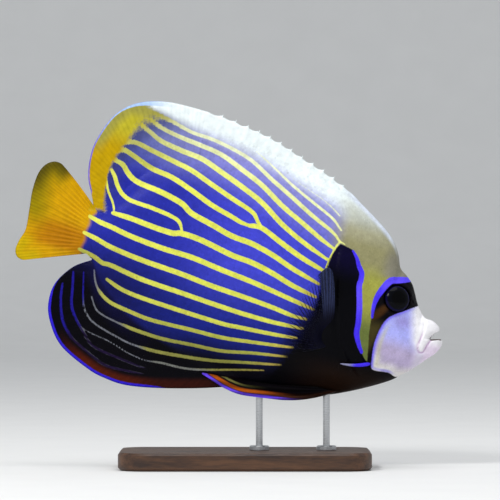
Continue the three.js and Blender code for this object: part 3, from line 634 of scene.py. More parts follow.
def flank_paint(c, at):
    """Blue ground of the flank, black belly and anal fin, white back."""
    x, z = at.x, at.z
    maroon = smooth(at.anal_distance, 8.5, 4) * smooth(x, -6, 22) * smooth(x, 132, 100)
    maroon = maroon * (1 - 0.55 * smooth(x, 50, 75)) * smooth(z, -46, -58)
    return painted(
        c.flank,
        (c.flank_rear, smooth(x, 110, 40)),
        (c.flank_low, smooth(z, 10, -42)),
        (c.anal_root, smooth(x, 90, 15) * smooth(z, 6, -34) * 0.85),
        (c.belly, smooth(at.chest, -16, -1) * smooth(z, 0, -25) * 0.8),
        (c.belly, smooth(z + 8 * smooth(x, 110, 30), -38, -64)),
        (c.lavender, at.pale * smooth(x, 0, 45)),
        (c.smoke, at.pale * smooth(x, 80, 20) * 0.6),
        (c.smoke_deep, smooth(at.gold, -15, -1) * smooth(z, 18, 40) * 0.75),
        (c.anal, at.in_anal),
        (c.anal_root, at.in_anal * smooth(at.below, 20, 2) * smooth(x, 70, 15) * 0.7),
        (c.white, at.white),
        (c.maroon, maroon * 0.9),
    )


def head_paint(c, at):
    """Olive cheek, cream grey nape and forehead, pale along the upper edge, with a painted highlight on the
    forehead's edge.
    """
    x, z = at.x, at.z
    return painted(
        c.cheek,
        (c.cheek_low, smooth(z, 6, -14)),
        (c.nape_low, smooth(z, 20, 36)),
        (c.nape, smooth(z, 42, 52)),
        (c.nape_pale, smooth(z, 51, 63)),
        (c.forehead, smooth(x, 198, 208) * smooth(z, 24, 30) * smooth(z, 52, 40)),
        (c.white, smooth(at.depth, 10, 2) * smooth(x, 190, 165) * 0.7),
        # painted highlight: pale band where the light catches the edge of nape and forehead
        (c.nape_rim_highlight, smooth(at.depth, 5, 1.2) * smooth(x, 214, 200)),
    )


def tail_paint(c, at):
    """Yellow of the tail fin, orange brown in its middle and olive towards its upper margin."""
    x, z = at.x, at.z
    from_edge = tail_margin.nearest(x, z, 24)[0]
    return painted(
        c.tail,
        (c.tail_deep, smooth(z, 6, -4) * smooth(z, -20, -13) * smooth(x, -46, -30) * 0.8),
        (c.tail_olive, smooth(from_edge, 22, 3) * smooth(z, -12, 8) * smooth(x, -20, -36)),
        (c.tail_lemon, smooth(from_edge, 12, 3) * smooth(z, -10, -20)),
        (c.tail_edge, smooth(from_edge, 14, 0) * smooth(z - 0.5 * x, 28, 54)),
    )


def gold_paint(c, at):
    """Gold of the band at the rear of the back fin, greener towards the margin and the white."""
    greener = np.maximum(smooth(at.dorsal_distance, 10, 2) * smooth(at.z, 52, 68), smooth(at.z, 84, 92))
    return painted(c.gold, (c.gold_lemon, smooth(at.z, 60, 80)), (c.gold_green, greener))


def stripe_layer(c, at):
    """Depth and paint of the yellow stripes, the gold band and the arcs on the anal fin."""
    x, z, depth, white = at.x, at.z, at.depth, at.white
    lean = smooth(x - 18 - 1.45 * np.clip(-40 - z, 0, None), 2, -6) * smooth(z, -20, -24)
    narrowing = (1 - 0.5 * lean) * (1 - 0.22 * smooth(depth, 34, 14))
    stripes = np.maximum(deepest(stripe_courses, x, z, narrowing), deepest(mask_edge_courses, x, z))
    arcs = deepest(arc_courses, x, z)
    gold_softness = 0.7 + 0.9 * smooth(z, 40, 60) + 4 * smooth(z, 66, 92) + 1.2 * smooth(z, 34, 24)
    gold = at.gold / gold_softness
    rear = smooth(x, 58, 12) * np.maximum(smooth(z, 2, -18), smooth(z, 40, 62))
    near_chest = smooth(at.chest, -18, -1) * smooth(z, 24, 2)
    yellow = painted(
        c.stripe,
        (c.stripe_pale, np.clip(at.pale * 0.35 + white + 0.5 * smooth(depth, 40, 20), 0, 1)),
        # painted shade: the yellow darkened towards the belly, as the light from above falls off
        (c.stripe_low_shaded, smooth(z, -25, -68)),
        (c.stripe_rear, rear * 0.75),
        (c.stripe_end, near_chest * 0.8),
        (c.stripe_grey, np.maximum(lean, smooth(z, -68, -72) * 0.8)),
        (c.arc, smooth(x, 10, 6) * smooth(z, -20, -26)),
        (gold_paint(c, at), smooth(gold, -1.6, 0.6)),
        (
            blend(c.arc, c.arc_dim, smooth(z - x, -58, -84) * smooth(x, -6, 4)),
            smooth(arcs - stripes, 0.2, 1.5)),
    )
    faded = 1.6 * smooth(white, 0.35, 0.9) * smooth(x, 20, 40)
    faded += 1.2 * smooth(white, 0.1, 0.5) * smooth(x, 90, 125)
    layer = np.maximum(np.maximum(stripes, clipped(gold) - 2.5 * white), arcs) - faded
    return np.where(at.on_tail & (x < -7), -FAR_OUTSIDE, layer), yellow


def deep_layer(c, at):
    """Depth and paint of the black mask behind the cheek, the band through the eye and the painted shadow
    in the nostrils.
    """
    x, z = at.x, at.z
    mask_softness = 0.35 + 2.2 * smooth(x, 178, 164) * smooth(z, 14, -22)
    mask_softness = mask_softness + 1.2 * smooth(x, 174, 166) * smooth(z, 34, 20)
    mask = clipped(at.chest / mask_softness)
    patch = clipped(eye_patch.inside(x, z, 12) / PATCH_SOFTNESS)
    rust = np.hypot((x - 208 - (z - 2) * 0.6) / 4, (z - 2) / 7.5)
    patch_paint = painted(
        c.patch,
        (c.patch_rust, smooth(rust, 1.3, 0.35)),
        (c.patch_strip, smooth(z, 0, -10) * smooth(x - 0.2 * z, 216, 211)),
    )
    black = painted(
        c.mask,
        (c.mask_high, smooth(z, 14, 34)),
        (c.throat, smooth(z, -34, -50) * smooth(x, 150, 196)),
        (patch_paint, smooth(patch - mask, -1, 1)),
        # painted shadow: black in the pits of the nostrils, for the dark of their holes
        *[
            (c.patch, smooth(np.hypot(x - nx, z - nz), radius * 1.4, radius))
            for nx, nz, radius in NOSTRILS
        ],
    )
    return np.maximum(mask, patch), black


def line_layer(c, at):
    """Depth and paint of the blue lines of the face and the coloured rims of the fins."""
    x, z = at.x, at.z
    anal_rim = 2.0 * smooth(at.anal_share, 0.2, 0.36) * (1 - smooth(at.anal_share, 0.78, 0.9))
    anal_rim = anal_rim - at.anal_distance - 3 * smooth(at.anal_share, 0.3, 0.2)
    dorsal_rim = 0.9 + 2.6 * smooth(x, -8, 24) - at.dorsal_distance
    dorsal_rim -= 6 * smooth(at.dorsal_share, 0.56, 0.46)
    dorsal_rim = dorsal_rim - 2 * smooth(z, 29, 22)
    depth = np.maximum(deepest(face_courses, x, z), np.maximum(anal_rim, dorsal_rim) / EDGE_SOFTNESS)
    rim = painted(c.rim_violet, (c.rim_sky, smooth(z, 50, 95)), (c.white, smooth(x, 8, 34)))
    blue = painted(
        c.line,
        (c.line_light, swell(z - 8, 12) * smooth(x, 206, 198)),
        (c.line_light, (x > 200) * smooth(z, 12, 24)),
        (c.rim_blue, at.in_anal * smooth(x, 160, 140)),
        (rim, at.in_dorsal * smooth(x, 170, 150)),
    )
    return np.where(at.on_tail, -FAR_OUTSIDE, clipped(depth)), blue


def muzzle_layer(c, at):
    """Depth and paint of the lavender muzzle, white nose, lips and mouth, with painted shade in hollow and
    lip fold.
    """
    x, z = at.x, at.z
    edge_in = muzzle_patch.inside(x, z, 40)
    nose = smooth(x + 0.28 * z, 228.5, 237) * smooth(z, -19, -9)
    nose = nose + smooth(x, 237, 244) * (1 - 0.6 * smooth(z, -10, -22))
    lavender = painted(
        c.muzzle,
        # painted shade: greyer lavender where the hollow under the nostrils lies in shade
        (c.muzzle_hollow_shade, swell(x - 226, 6.5) * swell(z, 4.5)),
        (c.muzzle_pink, smooth(z, -8, -22) * 0.85),
        (c.muzzle_white, np.clip(nose, 0, 1)),
        (c.muzzle_blush, smooth(z, -6, -13) * smooth(x, 244, 248) * 0.9),
        # painted shade, pink tinted, in the crease round the upper lip
        (c.muzzle_fold_shade, swell(upper_lip.inside(x, z, 8) + 0.5, 0.6) * smooth(z, 0, -8) * 0.7),
        (c.muzzle_cream, smooth(edge_in, 10, 1) * smooth(z, -22, -32)),
        (c.muzzle_lemon, swell(edge_in - 4.2, 1.5) * smooth(z, 0, -10) * smooth(x, 222, 214) * 0.6),
        (c.muzzle_rim, smooth(edge_in, 2.8, 0.3) * smooth(z, -38.5, -35) * smooth(x, 236, 222)),
        (c.mouth, smooth(mouth_gap.nearest(x, z, 4)[0], 0.75, 0.35)),
    )
    return np.where(x > 205, clipped(edge_in / PATCH_SOFTNESS), -FAR_OUTSIDE), lavender


def markings(c, x, z, tail):
    """Paint of the skin at points of its side view, and how deep each marking's edge is crossed."""
    at = zones(x, z, tail)
    nape = smooth(x, 156, 173) * smooth(z, 34, 40) + smooth(x, 176, 184)
    tail_root = smooth(x + 0.5 * np.cos(z * 0.54) - 3 * smooth(z, 8, 15), -2, -5)
    tables = {
        "ground": painted(
            flank_paint(c, at),
            (head_paint(c, at), np.clip(nape, 0, 1)),
            (tail_paint(c, at), np.where(at.on_tail, tail_root, 0)),
        ),
        "web": np.where(at.on_tail, WEB_SHADE_TAIL, WEB_SHADE * (1 - 0.7 * at.white)),
    }
    for key, layer in MARKING_LAYERS.items():
        tables[key], tables[key + "_paint"] = layer(c, at)
    return tables


# The layers over the ground, from the lowest
MARKING_LAYERS = {"stripe": stripe_layer, "deep": deep_layer, "line": line_layer, "muzzle": muzzle_layer}


# Materials

def add(tree, kind, inputs=None, output=0, **settings):
    """Adds one node with its settings, sets or links its inputs, and gives one of its outputs."""
    node = tree.nodes.new("ShaderNode" + kind)
    for name, value in settings.items():
        setattr(node, name, value)
    for socket, value in (inputs or {}).items():
        if isinstance(value, bpy.types.NodeSocket):
            tree.links.new(value, node.inputs[socket])
        else:
            node.inputs[socket].default_value = value
    return node.outputs[output]


def material(name, finish, colours, numbers):
    """New material: finish gives its shader's linked sockets, numbers its constant ones."""
    surface = bpy.data.materials.new(name)
    surface.use_nodes = True
    tree = surface.node_tree
    shader = tree.nodes["Principled BSDF"]
    place = add(tree, "TexCoord", output="Object")
    for socket, value in finish(tree, place, colours).items():
        tree.links.new(value, shader.inputs[socket])
    for socket, value in numbers.items():
        shader.inputs[socket].default_value = value
    return surface


def across(millimetres):
    """Scale of a noise whose blotches are about so many millimetres across."""
    return 1 / (millimetres * MM)


def mottle(tree, place, millimetres, detail, low, high, reach=0.2):
    """Value that wanders from low to high in blotches of a real size."""
    blotches = add(tree, "TexNoise", {"Vector": place, "Scale": across(millimetres), "Detail": detail})
    return add(tree, "MapRange", {
        "Value": blotches, "From Min": 0.5 - reach, "From Max": 0.5 + reach, "To Min": low, "To Max": high})


def rgba(colour):
    """Opaque colour for a socket."""
    return (*colour[:3], 1)


def skin_finish(tree, place, c):
    """Live colour under clear mucus: markings ragged by tiny scales, webs darker than the fin rays."""
    own, phase, reach, darker = [
        add(tree, "Attribute", output="Fac", attribute_name=name)
        for name in ("tone", "ray", "reach", "web")
    ]
    ragged = mottle(tree, place, 1.3, 2, -0.45, 0.45, reach=0.25)
    colour = add(tree, "Attribute", output="Color", attribute_name="ground")
    for edge in MARKING_LAYERS:
        depth = add(tree, "Attribute", output="Fac", attribute_name=edge)
        depth = add(tree, "Math", {0: depth, 1: ragged}, operation="ADD")
        share = add(
            tree, "MapRange", {"Value": depth, "From Min": -1, "From Max": 1},
            interpolation_type="SMOOTHSTEP")
        layer = add(tree, "Attribute", output="Color", attribute_name=edge + "_paint")
        colour = add(tree, "Mix", {0: share, 6: colour, 7: layer}, output=2, data_type="RGBA")
    single, double = [
        add(tree, "Math", {0: add(tree, "Math", {0: phase, 1: turns * math.pi}, operation="MULTIPLY")},
            operation="COSINE")
        for turns in (2, 4)
    ]
    forked = add(tree, "MapRange", {"Value": reach, "From Min": 0.35, "From Max": 0.75})
    wave = add(tree, "Mix", {0: forked, 2: single, 3: double}, data_type="FLOAT")
    on_fin = add(tree, "MapRange", {"Value": reach, "From Min": 0.02, "From Max": 0.2})
    web = add(tree, "MapRange", {"Value": wave, "From Min": 0.2, "From Max": -0.8})
    for share in (on_fin, darker):
        web = add(tree, "Math", {0: web, 1: share}, operation="MULTIPLY")
    tone = add(tree, "Math", {0: mottle(tree, place, 4.5, 3, 0.9, 1.08), 1: own}, operation="ADD")
    tone = add(tree, "Math", {0: tone, 1: web}, operation="SUBTRACT")
    pores = add(tree, "TexNoise", {"Vector": place, "Scale": across(0.5), "Detail": 2})
    ridges = add(tree, "Math", {0: wave, 1: on_fin}, operation="MULTIPLY")
    height = add(tree, "Math", {0: ridges, 1: 0.8, 2: pores}, operation="MULTIPLY_ADD")
    return {
        "Base Color": add(tree, "HueSaturation", {"Color": colour, "Value": tone}),
        "Normal": add(tree, "Bump", {"Height": height, "Distance": 0.08 * MM}),
    }


def spine_finish(tree, place, c):
    """Smooth skin drawn tight over the bone of a spine: one paint, faintly mottled, without scales."""
    colour = add(tree, "Attribute", output="Color", attribute_name="ground")
    tone = mottle(tree, place, 1.6, 3, 0.94, 1.03)
    pores = add(tree, "TexNoise", {"Vector": place, "Scale": across(0.7), "Detail": 3})
    return {
        "Base Color": add(tree, "HueSaturation", {"Color": colour, "Value": tone}),
        "Normal": add(tree, "Bump", {"Height": pores, "Distance": 0.04 * MM}),
    }


def eye_finish(tree, place, c):
    """Iris fibres under the clear cornea, fine and dark, seen as through glass."""
    colour = add(tree, "Attribute", output="Color", attribute_name="ground")
    tone = mottle(tree, place, 0.8, 4, 0.75, 1.25, reach=0.15)
    return {"Base Color": add(tree, "HueSaturation", {"Color": colour, "Value": tone})}


def web_finish(tree, place, c):
    """Thin wet web between denser rays; how clear it is, and how dark the rays, comes with the fin."""
    phase, clear, ink = [
        add(tree, "Attribute", output="Fac", attribute_name=name) for name in ("ray", "clear", "ink")
    ]
    turn = add(tree, "Math", {0: phase, 1: 2 * math.pi}, operation="MULTIPLY")
    wave = add(tree, "Math", {0: turn}, operation="COSINE")
    dense = add(tree, "MapRange", {"Value": wave, "From Min": 0.55, "From Max": 0.93})
    dense = add(tree, "Math", {0: dense, 1: ink}, operation="MULTIPLY")
    thin = add(tree, "Math", {0: 1.0, 1: dense}, operation="SUBTRACT")
    gap = add(tree, "Math", {0: clear, 1: thin}, operation="MULTIPLY")
    ribs = add(tree, "MapRange", {
        "Value": wave, "From Min": -0.6, "From Max": 0.9, "To Min": 0.7, "To Max": 1.4})
    tone = add(tree, "Math", {0: mottle(tree, place, 2.2, 3, 0.85, 1.1), 1: ribs}, operation="MULTIPLY")
    colour = add(tree, "Attribute", output="Color", attribute_name="ground")
    return {
        "Base Color": add(tree, "HueSaturation", {"Color": colour, "Value": tone}),
        "Alpha": add(tree, "Math", {0: 1.0, 1: gap}, operation="SUBTRACT"),
        "Normal": add(tree, "Bump", {"Height": wave, "Distance": 0.15 * MM}),
    }


def wood_finish(tree, place, c):
    """Walnut planed along its grain and oiled: brown streaks, open pores that drink the oil."""
    along = add(tree, "Mapping", {"Vector": place, "Scale": (0.12, 1.0, 1.0)})
    streaks = add(tree, "TexNoise", {"Vector": along, "Scale": across(5.0), "Detail": 6})
    pores = add(tree, "TexNoise", {"Vector": along, "Scale": across(0.9), "Detail": 4})
    grain = add(tree, "Math", {0: pores, 1: 0.4, 2: streaks}, operation="MULTIPLY_ADD")
    share = add(tree, "MapRange", {"Value": grain, "From Min": 0.52, "From Max": 0.88})
    brown = add(tree, "Mix", {0: share, 6: rgba(c.wood_dark), 7: rgba(c.wood)}, output=2, data_type="RGBA")
    return {
        "Base Color": brown,
        "Roughness": mottle(tree, along, 0.9, 4, 0.55, 0.4),
        "Normal": add(tree, "Bump", {"Height": pores, "Distance": 0.08 * MM}),
    }


def steel_finish(tree, place, c):
    """Stainless rod brushed round on a lathe: bright metal with fine turned lines."""
    rings = add(tree, "Mapping", {"Vector": place, "Scale": (0.05, 0.05, 1.0)})
    tone = mottle(tree, rings, 0.25, 3, 0.85, 1.05)
    return {
        "Base Color": add(tree, "HueSaturation", {"Color": rgba(c.steel), "Value": tone}),
        "Roughness": mottle(tree, rings, 0.25, 3, 0.24, 0.4),
    }


def paper_finish(tree, place, c):
    """Matt backdrop paper, faintly cloudy."""
    tone = mottle(tree, place, 60, 3, 0.985, 1.01)
    return {"Base Color": add(tree, "HueSaturation", {"Color": rgba(c.floor), "Value": tone})}


# Constant sockets: a film of mucus or water over skin, the cornea, metal, oiled wood
WET_SKIN = {
    "Roughness": 0.42, "IOR": 1.38, "Specular IOR Level": 0.07, "Coat Weight": 0.05, "Coat Roughness": 0.15,
    "Coat IOR": 1.36,
}
CORNEA = {
    "Roughness": 0.3, "IOR": 1.34, "Specular IOR Level": 0.03, "Coat Weight": 0.2, "Coat Roughness": 0.03,
    "Coat IOR": 1.36,
}
FIN_WEB = {"Roughness": 0.4, "IOR": 1.38, "Specular IOR Level": 0.1}
OILED_WOOD = {"IOR": 1.5}
BARE_STEEL = {"Metallic": 1.0}
MATT_PAPER = {"Roughness": 0.9, "IOR": 1.5}


# Mesh helpers

def finished(bm, name, finish):
    """Object of a bmesh, smooth, in the scene and riding on the fish's body."""
    bmesh.ops.remove_doubles(bm, verts=bm.verts, dist=1e-7)
    bmesh.ops.recalc_face_normals(bm, faces=bm.faces)
    for face in bm.faces:
        face.smooth = True
    mesh = bpy.data.meshes.new(name)
    bm.to_mesh(mesh)
    bm.free()
    return riding(mesh, finish)


def riding(mesh, finish):
    """Object of a mesh with its finish, in the scene and riding on the fish's body."""
    mesh.materials.append(finish)
    piece = bpy.data.objects.new(mesh.name, mesh)
    bpy.context.scene.collection.objects.link(piece)
    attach(piece, "root")
    return piece


def sheet(bm, x, y, z, values):
    """Grid bent to tables of places in fish millimetres, carrying tables of values on its points."""
    columns, rows = x.shape[0] - 1, x.shape[1] - 1
    grid = bmesh.ops.create_grid(bm, x_segments=columns, y_segments=rows, size=1)["verts"]
    layers = {key: bm.verts.layers.float.get(key) or bm.verts.layers.float.new(key) for key in values}
    if layers:
        grid = bm.verts[-len(grid):]
    places = to_world(np.stack([x, y, z], -1))
    for vert in grid:
        c = round((vert.co.x + 1) / 2 * columns)
        r = round((vert.co.y + 1) / 2 * rows)
        vert.co = places[c, r]
        for key, table in values.items():
            vert[layers[key]] = table[c, r]


def leaf(name, finish, x, y, z, half, values):
    """Closed form of two sheets, off their middle by the half thickness and welded round the rim."""
    bm = bmesh.new()
    for key in values:
        bm.verts.layers.float.new(key)
    for side in (1, -1):
        sheet(bm, x, y + side * half, z, values)
    return finished(bm, name, finish)


def add_spine(bm, keys, along, around):
    """Adds a round bar through keys of place and radius, drawn in to a point at each end."""
    keys = np.array(keys, float)
    index = np.linspace(0, 1, len(keys))
    steps = (1 - np.cos(np.linspace(0, math.pi, along + 1))) / 2
    line = np.stack([through(np.stack([index, column], 1))(steps) for column in keys.T], 1)
    centre, radius = line[:, :3], line[:, 3]
    ahead = np.gradient(centre, axis=0)
    ahead /= np.linalg.norm(ahead, axis=1)[:, None]
    away = np.array((0, 1, 0)) - ahead * ahead[:, 1:2]
    away /= np.linalg.norm(away, axis=1)[:, None]
    aside = np.cross(ahead, away)
    radius = radius * np.sqrt(np.clip(1 - np.abs(2 * steps - 1) ** 8, 0, 1))
    turn = np.linspace(0, 2 * math.pi, around + 1)[:, None]
    ring = away[:, None] * np.cos(turn) + aside[:, None] * np.sin(turn)
    places = centre[:, None] + ring * radius[:, None, None]
    sheet(bm, *np.moveaxis(places, -1, 0), {})


def places_of(mesh):
    """Points of a mesh in fish millimetres."""
    flat = np.empty(len(mesh.vertices) * 3, np.float32)
    mesh.vertices.foreach_get("co", flat)
    return to_fish(flat.reshape(-1, 3))


def values_of(mesh, *keys):
    """Tables of the values that a mesh's points carry."""
    tables = np.empty((len(keys), len(mesh.vertices)), np.float32)
    for key, table in zip(keys, tables):
        mesh.attributes[key].data.foreach_get("value", table)
    return tables


def put(mesh, tables):
    """Writes values and colours for the points of a mesh."""
    for key, table in tables.items():
        if table.ndim == 1:
            kind, name, flat = "FLOAT", "value", table
        else:
            kind, name, flat = "FLOAT_COLOR", "color", np.insert(table, 3, 1, axis=1).ravel()
        layer = mesh.attributes.get(key) or mesh.attributes.new(key, kind, "POINT")
        layer.data.foreach_set(name, flat.astype(np.float32))


def joined_mesh(name, points, faces, uv):
    """Mesh of many small pieces from arrays of points, triangles and places on the unwrap."""
    mesh = bpy.data.meshes.new(name)
    mesh.vertices.add(len(points))
    mesh.vertices.foreach_set("co", points.astype(np.float32).ravel())
    mesh.loops.add(faces.size)
    mesh.loops.foreach_set("vertex_index", faces.astype(np.int32).ravel())
    mesh.polygons.add(len(faces))
    mesh.polygons.foreach_set("loop_start", np.arange(0, faces.size, 3, dtype=np.int32))
    mesh.polygons.foreach_set("use_smooth", np.ones(len(faces), bool))
    layer = mesh.uv_layers.new(name="OFBake")
    layer.data.foreach_set("uv", uv[faces.ravel()].astype(np.float32).ravel())
    mesh.update(calc_edges=True)
    return mesh


def sharpen(mesh, chosen):
    """Marks edges as sharp, chosen by the numbers of their two points."""
    ends = np.empty(len(mesh.edges) * 2, np.int32)
    mesh.edges.foreach_get("vertices", ends)
    layer = mesh.attributes.new("sharp_edge", "BOOLEAN", "EDGE")
    layer.data.foreach_set("value", chosen(ends.reshape(-1, 2)))


# Colours and sizes that a user would change

def paint(name, code, description):
    """Colour that a user can set, from its sRGB hex code."""
    return FloatVectorProperty(
        name=name, description=description, subtype="COLOR", size=3, min=0, max=1, default=linear(code))


def length(name, millimetres, description):
    """Size that a user can set, from its millimetres."""
    return FloatProperty(
        name=name, description=description, unit="LENGTH", min=0, default=millimetres * MM, precision=5)


class AngelfishColours(bpy.types.PropertyGroup):
    """Colours of the fish and its stand."""

    flank: paint("Flank", "#4448CC", "Ground of the flank between the stripes")
    flank_rear: paint("Rear flank", "#262D9E", "Deeper ground towards the tail")
    flank_low: paint("Lower flank", "#1B2686", "Navy ground low on the flank")
    belly: paint("Belly", "#0A0912", "Blue-black along the belly")
    lavender: paint("Upper flank", "#8A8ACC", "Paler ground under the white back")
    smoke: paint("Upper rear flank", "#6B76A2", "Smoky blue under the rear of the back fin")
    smoke_deep: paint("Flank by the gold band", "#3A3D70", "Smoky ground beside the gold of the back fin")
    anal: paint("Anal fin", "#030208", "Black of the anal fin")
    anal_root: paint("Anal fin root", "#101042", "Navy at the rear root of the anal fin")
    white: paint("Back", "#EDF6F6", "White along the back and its fin")
    maroon: paint("Anal fin band", "#521A06", "Red-brown band inside the anal fin's rim")
    cheek: paint("Cheek", "#A6A64C", "Olive yellow of the cheek")
    cheek_low: paint("Lower cheek", "#6E7A3E", "Duller olive at the foot of the cheek")
    nape_low: paint("Nape over the cheek", "#949068", "Grey olive where cheek turns into nape")
    nape: paint("Nape", "#A6A384", "Cream grey of the nape")
    nape_pale: paint("Upper nape", "#BEC2B6", "Pale grey of the nape under the white back")
    forehead: paint("Forehead", "#8E8A78", "Grey olive over the eye")
    # Painted highlight: pale band where the light catches the edge of nape and forehead
    nape_rim_highlight: paint("Forehead edge", "#DEE6F2", "Pale edge along nape and forehead")
    stripe: paint("Stripes", "#E0E25C", "Yellow of the stripes")
    stripe_pale: paint("Upper stripes", "#E8ECC2", "Paler yellow near the white back")
    # Painted shade: the stripes' yellow darkened low on the flank, away from the light above
    stripe_low_shaded: paint("Lower stripes", "#8C8A46", "Dull yellow of the lower stripes")
    stripe_rear: paint("Rear stripes", "#A5A24A", "Duller yellow of the stripes towards the tail")
    stripe_end: paint("Stripe ends", "#BEA654", "Dull gold of the stripe ends behind the fin")
    stripe_grey: paint("Lower stripe ends", "#70727A", "Pale grey of the lowest stripes behind")
    gold: paint("Rear fin band", "#BE9A04", "Gold at the rear of the back fin")
    gold_lemon: paint("Upper inner band", "#BBB02C", "Lemon gold on the inner side of the band, higher up")
    gold_green: paint(
        "Upper rear band", "#A09A46", "Green-gold where the band meets the margin and the white")
    arc: paint("Anal fin arcs", "#1D168A", "Blue arcs on the anal fin")
    arc_dim: paint("Lower anal fin arcs", "#1C1030", "Dim violet ends of the arcs")
    tail: paint("Tail fin", "#D09C04", "Yellow of the tail fin")
    tail_olive: paint("Tail fin margin", "#988404", "Olive gold towards the tail fin's margin")
    tail_lemon: paint("Lower tail fin corner", "#C8A806", "Lemon yellow of the lower corner")
    tail_deep: paint("Middle of the tail fin", "#B26E04", "Orange brown in the middle of the tail fin")
    tail_edge: paint("Tail fin corner", "#564C0C", "Dark olive of the clearer upper corner")
    mask: paint("Mask", "#020206", "Black behind the cheek")
    mask_high: paint("Upper mask", "#0A0628", "Indigo at the top of the mask")
    throat: paint("Throat", "#1C0F08", "Dark brown of the throat")
    patch: paint("Eye band", "#060408", "Black round the eye")
    patch_rust: paint("Eye band patch", "#42280F", "Rust below and behind the eye")
    patch_strip: paint("Eye band strip", "#423A1C", "Olive brown strip between cheek and muzzle")
    line: paint("Face lines", "#4632F0", "Electric blue lines of the face")
    line_light: paint("Face lines, lit part", "#6450FF", "Lighter violet blue at the middle of the lines")
    rim_blue: paint("Anal fin rim", "#3020D0", "Blue rim of the anal fin")
    rim_violet: paint("Lower rear rim", "#7A68D8", "Violet rim at the rear of the back fin")
    rim_sky: paint("Upper rear rim", "#A8C6F6", "Sky-blue rim at the top of the back fin")
    muzzle: paint("Muzzle", "#B5B8FF", "Lavender of the muzzle")
    # Painted shade: greyer lavender where the hollow under the nostrils lies in shade
    muzzle_hollow_shade: paint("Muzzle hollow", "#A29ADC", "Greyer lavender in the hollow under the nostrils")
    muzzle_white: paint("Nose", "#F6F4F7", "White of nose and upper lip")
    muzzle_blush: paint("Lower lip", "#EBD9F0", "Pink white of the lower lip")
    # Painted shade, pink tinted, in the crease round the upper lip
    muzzle_fold_shade: paint("Lip fold", "#B98ABF", "Pink in the fold round the upper lip")
    muzzle_pink: paint("Chin", "#C1B0CB", "Pinkish grey of the lower muzzle")
    muzzle_cream: paint("Jaw edge", "#EAE6E2", "Cream of the jaw's lower edge")
    muzzle_lemon: paint("Muzzle tinge", "#CFCDA4", "Lemon tinge inside the muzzle's rear edge")
    muzzle_rim: paint("Muzzle rim", "#8276F4", "Violet rim of the muzzle")
    mouth: paint("Mouth", "#3A1812", "Dark red-brown inside the mouth")
    iris: paint("Iris", "#020308", "Near black blue of the iris")
    pupil: paint("Pupil", "#010102", "Black of the pupil")
    pectoral: paint("Pectoral fin", "#282E4C", "Smoky blue of the pectoral fin's front")
    pectoral_dark: paint("Pectoral rays", "#08081A", "Dark rays of the pectoral fin")
    pelvic_orange: paint("Pelvic stripe", "#A04A08", "Orange stripe of the pelvic fin")
    pelvic_brown: paint("Pelvic web", "#2D160C", "Dark brown web of the pelvic fin")
    pelvic_edge: paint("Pelvic edge", "#6040D8", "Violet edge of the pelvic fin")
    spine_tip: paint("Cheek spine tip", "#8A8AAC", "Bare bone at the tip of the cheek spine")
    wood: paint("Wood", "#5A3A22", "Lighter grain of the stand's base")
    wood_dark: paint("Wood grain", "#2E1A0E", "Darker grain of the stand's base")
    steel: paint("Steel", "#C4C6C8", "Steel of the stand's rods")
    floor: paint("Floor", "#EAEAE8", "Floor and backdrop")


class AngelfishSizes(bpy.types.PropertyGroup):
    """Sizes of the fish's finer forms."""

    scale_pitch: length("Scale pitch", 1.7, "Distance between scales along the flank")
    scale_rise: length("Scale rise", 0.14, "How far a scale's free edge stands off the skin")
    eye_radius: length("Eye radius", 9.8, "Radius of the eye seen from the side")
    eye_depth: length("Eye depth", 5.6, "Half depth of the eye")
    eye_sunk: length("Eye sunk", 2.1, "How far the eye's middle lies under the cheek")
    cheek_spine_radius: length("Cheek spine radius", 1.35, "Radius at the root of the cheek spine")


def paints(context):
    """The colours as arrays, by name."""
    group = context.scene.angelfish_colours
    names = AngelfishColours.__annotations__
    return SimpleNamespace(**{name: np.array(getattr(group, name)) for name in names})


# Sides of the fish with the sign of its y there
SIDES = (("right", -1), ("left", 1))


class ANGELFISH_OT_skin(bpy.types.Operator):
    """Makes the one skin of head, body, tail and the fins in its plane"""

    bl_idname = "angelfish.skin"
    bl_label = "Skin"

    def execute(self, context):
        c = paints(context)
        table = skin_table()
        x, z, half = table["x"], table["z"], table["half"]
        columns, rows = x.shape
        values = {key: table[key] for key in ("reach", "ray", "tail")}
        values["column"] = np.broadcast_to(np.linspace(0, 1, columns)[:, None], x.shape)
        values["row"] = np.broadcast_to(np.linspace(0, 1, rows)[None], x.shape)
        finish = material("wet_fish_skin", skin_finish, c, WET_SKIN)
        skin = leaf("skin", finish, x, np.zeros(x.shape), z, -half, values)
        place = places_of(skin.data)
        put(skin.data, markings(c, place[:, 0], place[:, 2], values_of(skin.data, "tail")[0]))
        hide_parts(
            "head", "trunk", "tail_stem", "dorsal_fin_spiny", "dorsal_fin_soft", "anal_fin",
            "tail_fin", "gill_cover_right", "gill_cover_left")
        return {"FINISHED"}


# One scale seen from above, in pitches: towards the tail and across
SCALE_OUTLINE = [
    (-0.42, 0.0), (-0.12, 0.5), (0.3, 0.57), (0.62, 0.34), (0.75, 0.0), (0.62, -0.34), (0.3, -0.57),
    (-0.12, -0.5),
]

# Middle of its face and its sunk root, the same way, with their height in rises
SCALE_MIDDLE = (0.2, 0.0, 0.46)
SCALE_ROOT = (0.1, 0.0, -1.6)

# Pitch along the fish as a share of the full one, and the step from row to row in pitches
SCALE_SHARES = [(0, 0.75), (25, 0.9), (70, 1), (165, 1), (185, 0.72), (205, 0.58), (238, 0.5)]
ROW_STEP = 0.86

# Millimetres left bare round the middle of the eye and past the rim of a nostril
EYE_CLEARANCE = 12.3
NOSTRIL_CLEARANCE = 1.5

# Random differences between scales, the pieces they make, and one scale's size on the unwrap
SCALE_SEED = 7
SCALE_TONE_SPREAD = 0.04
PIECES_A_SIDE = 2
BAKE_PATCH = 0.0026


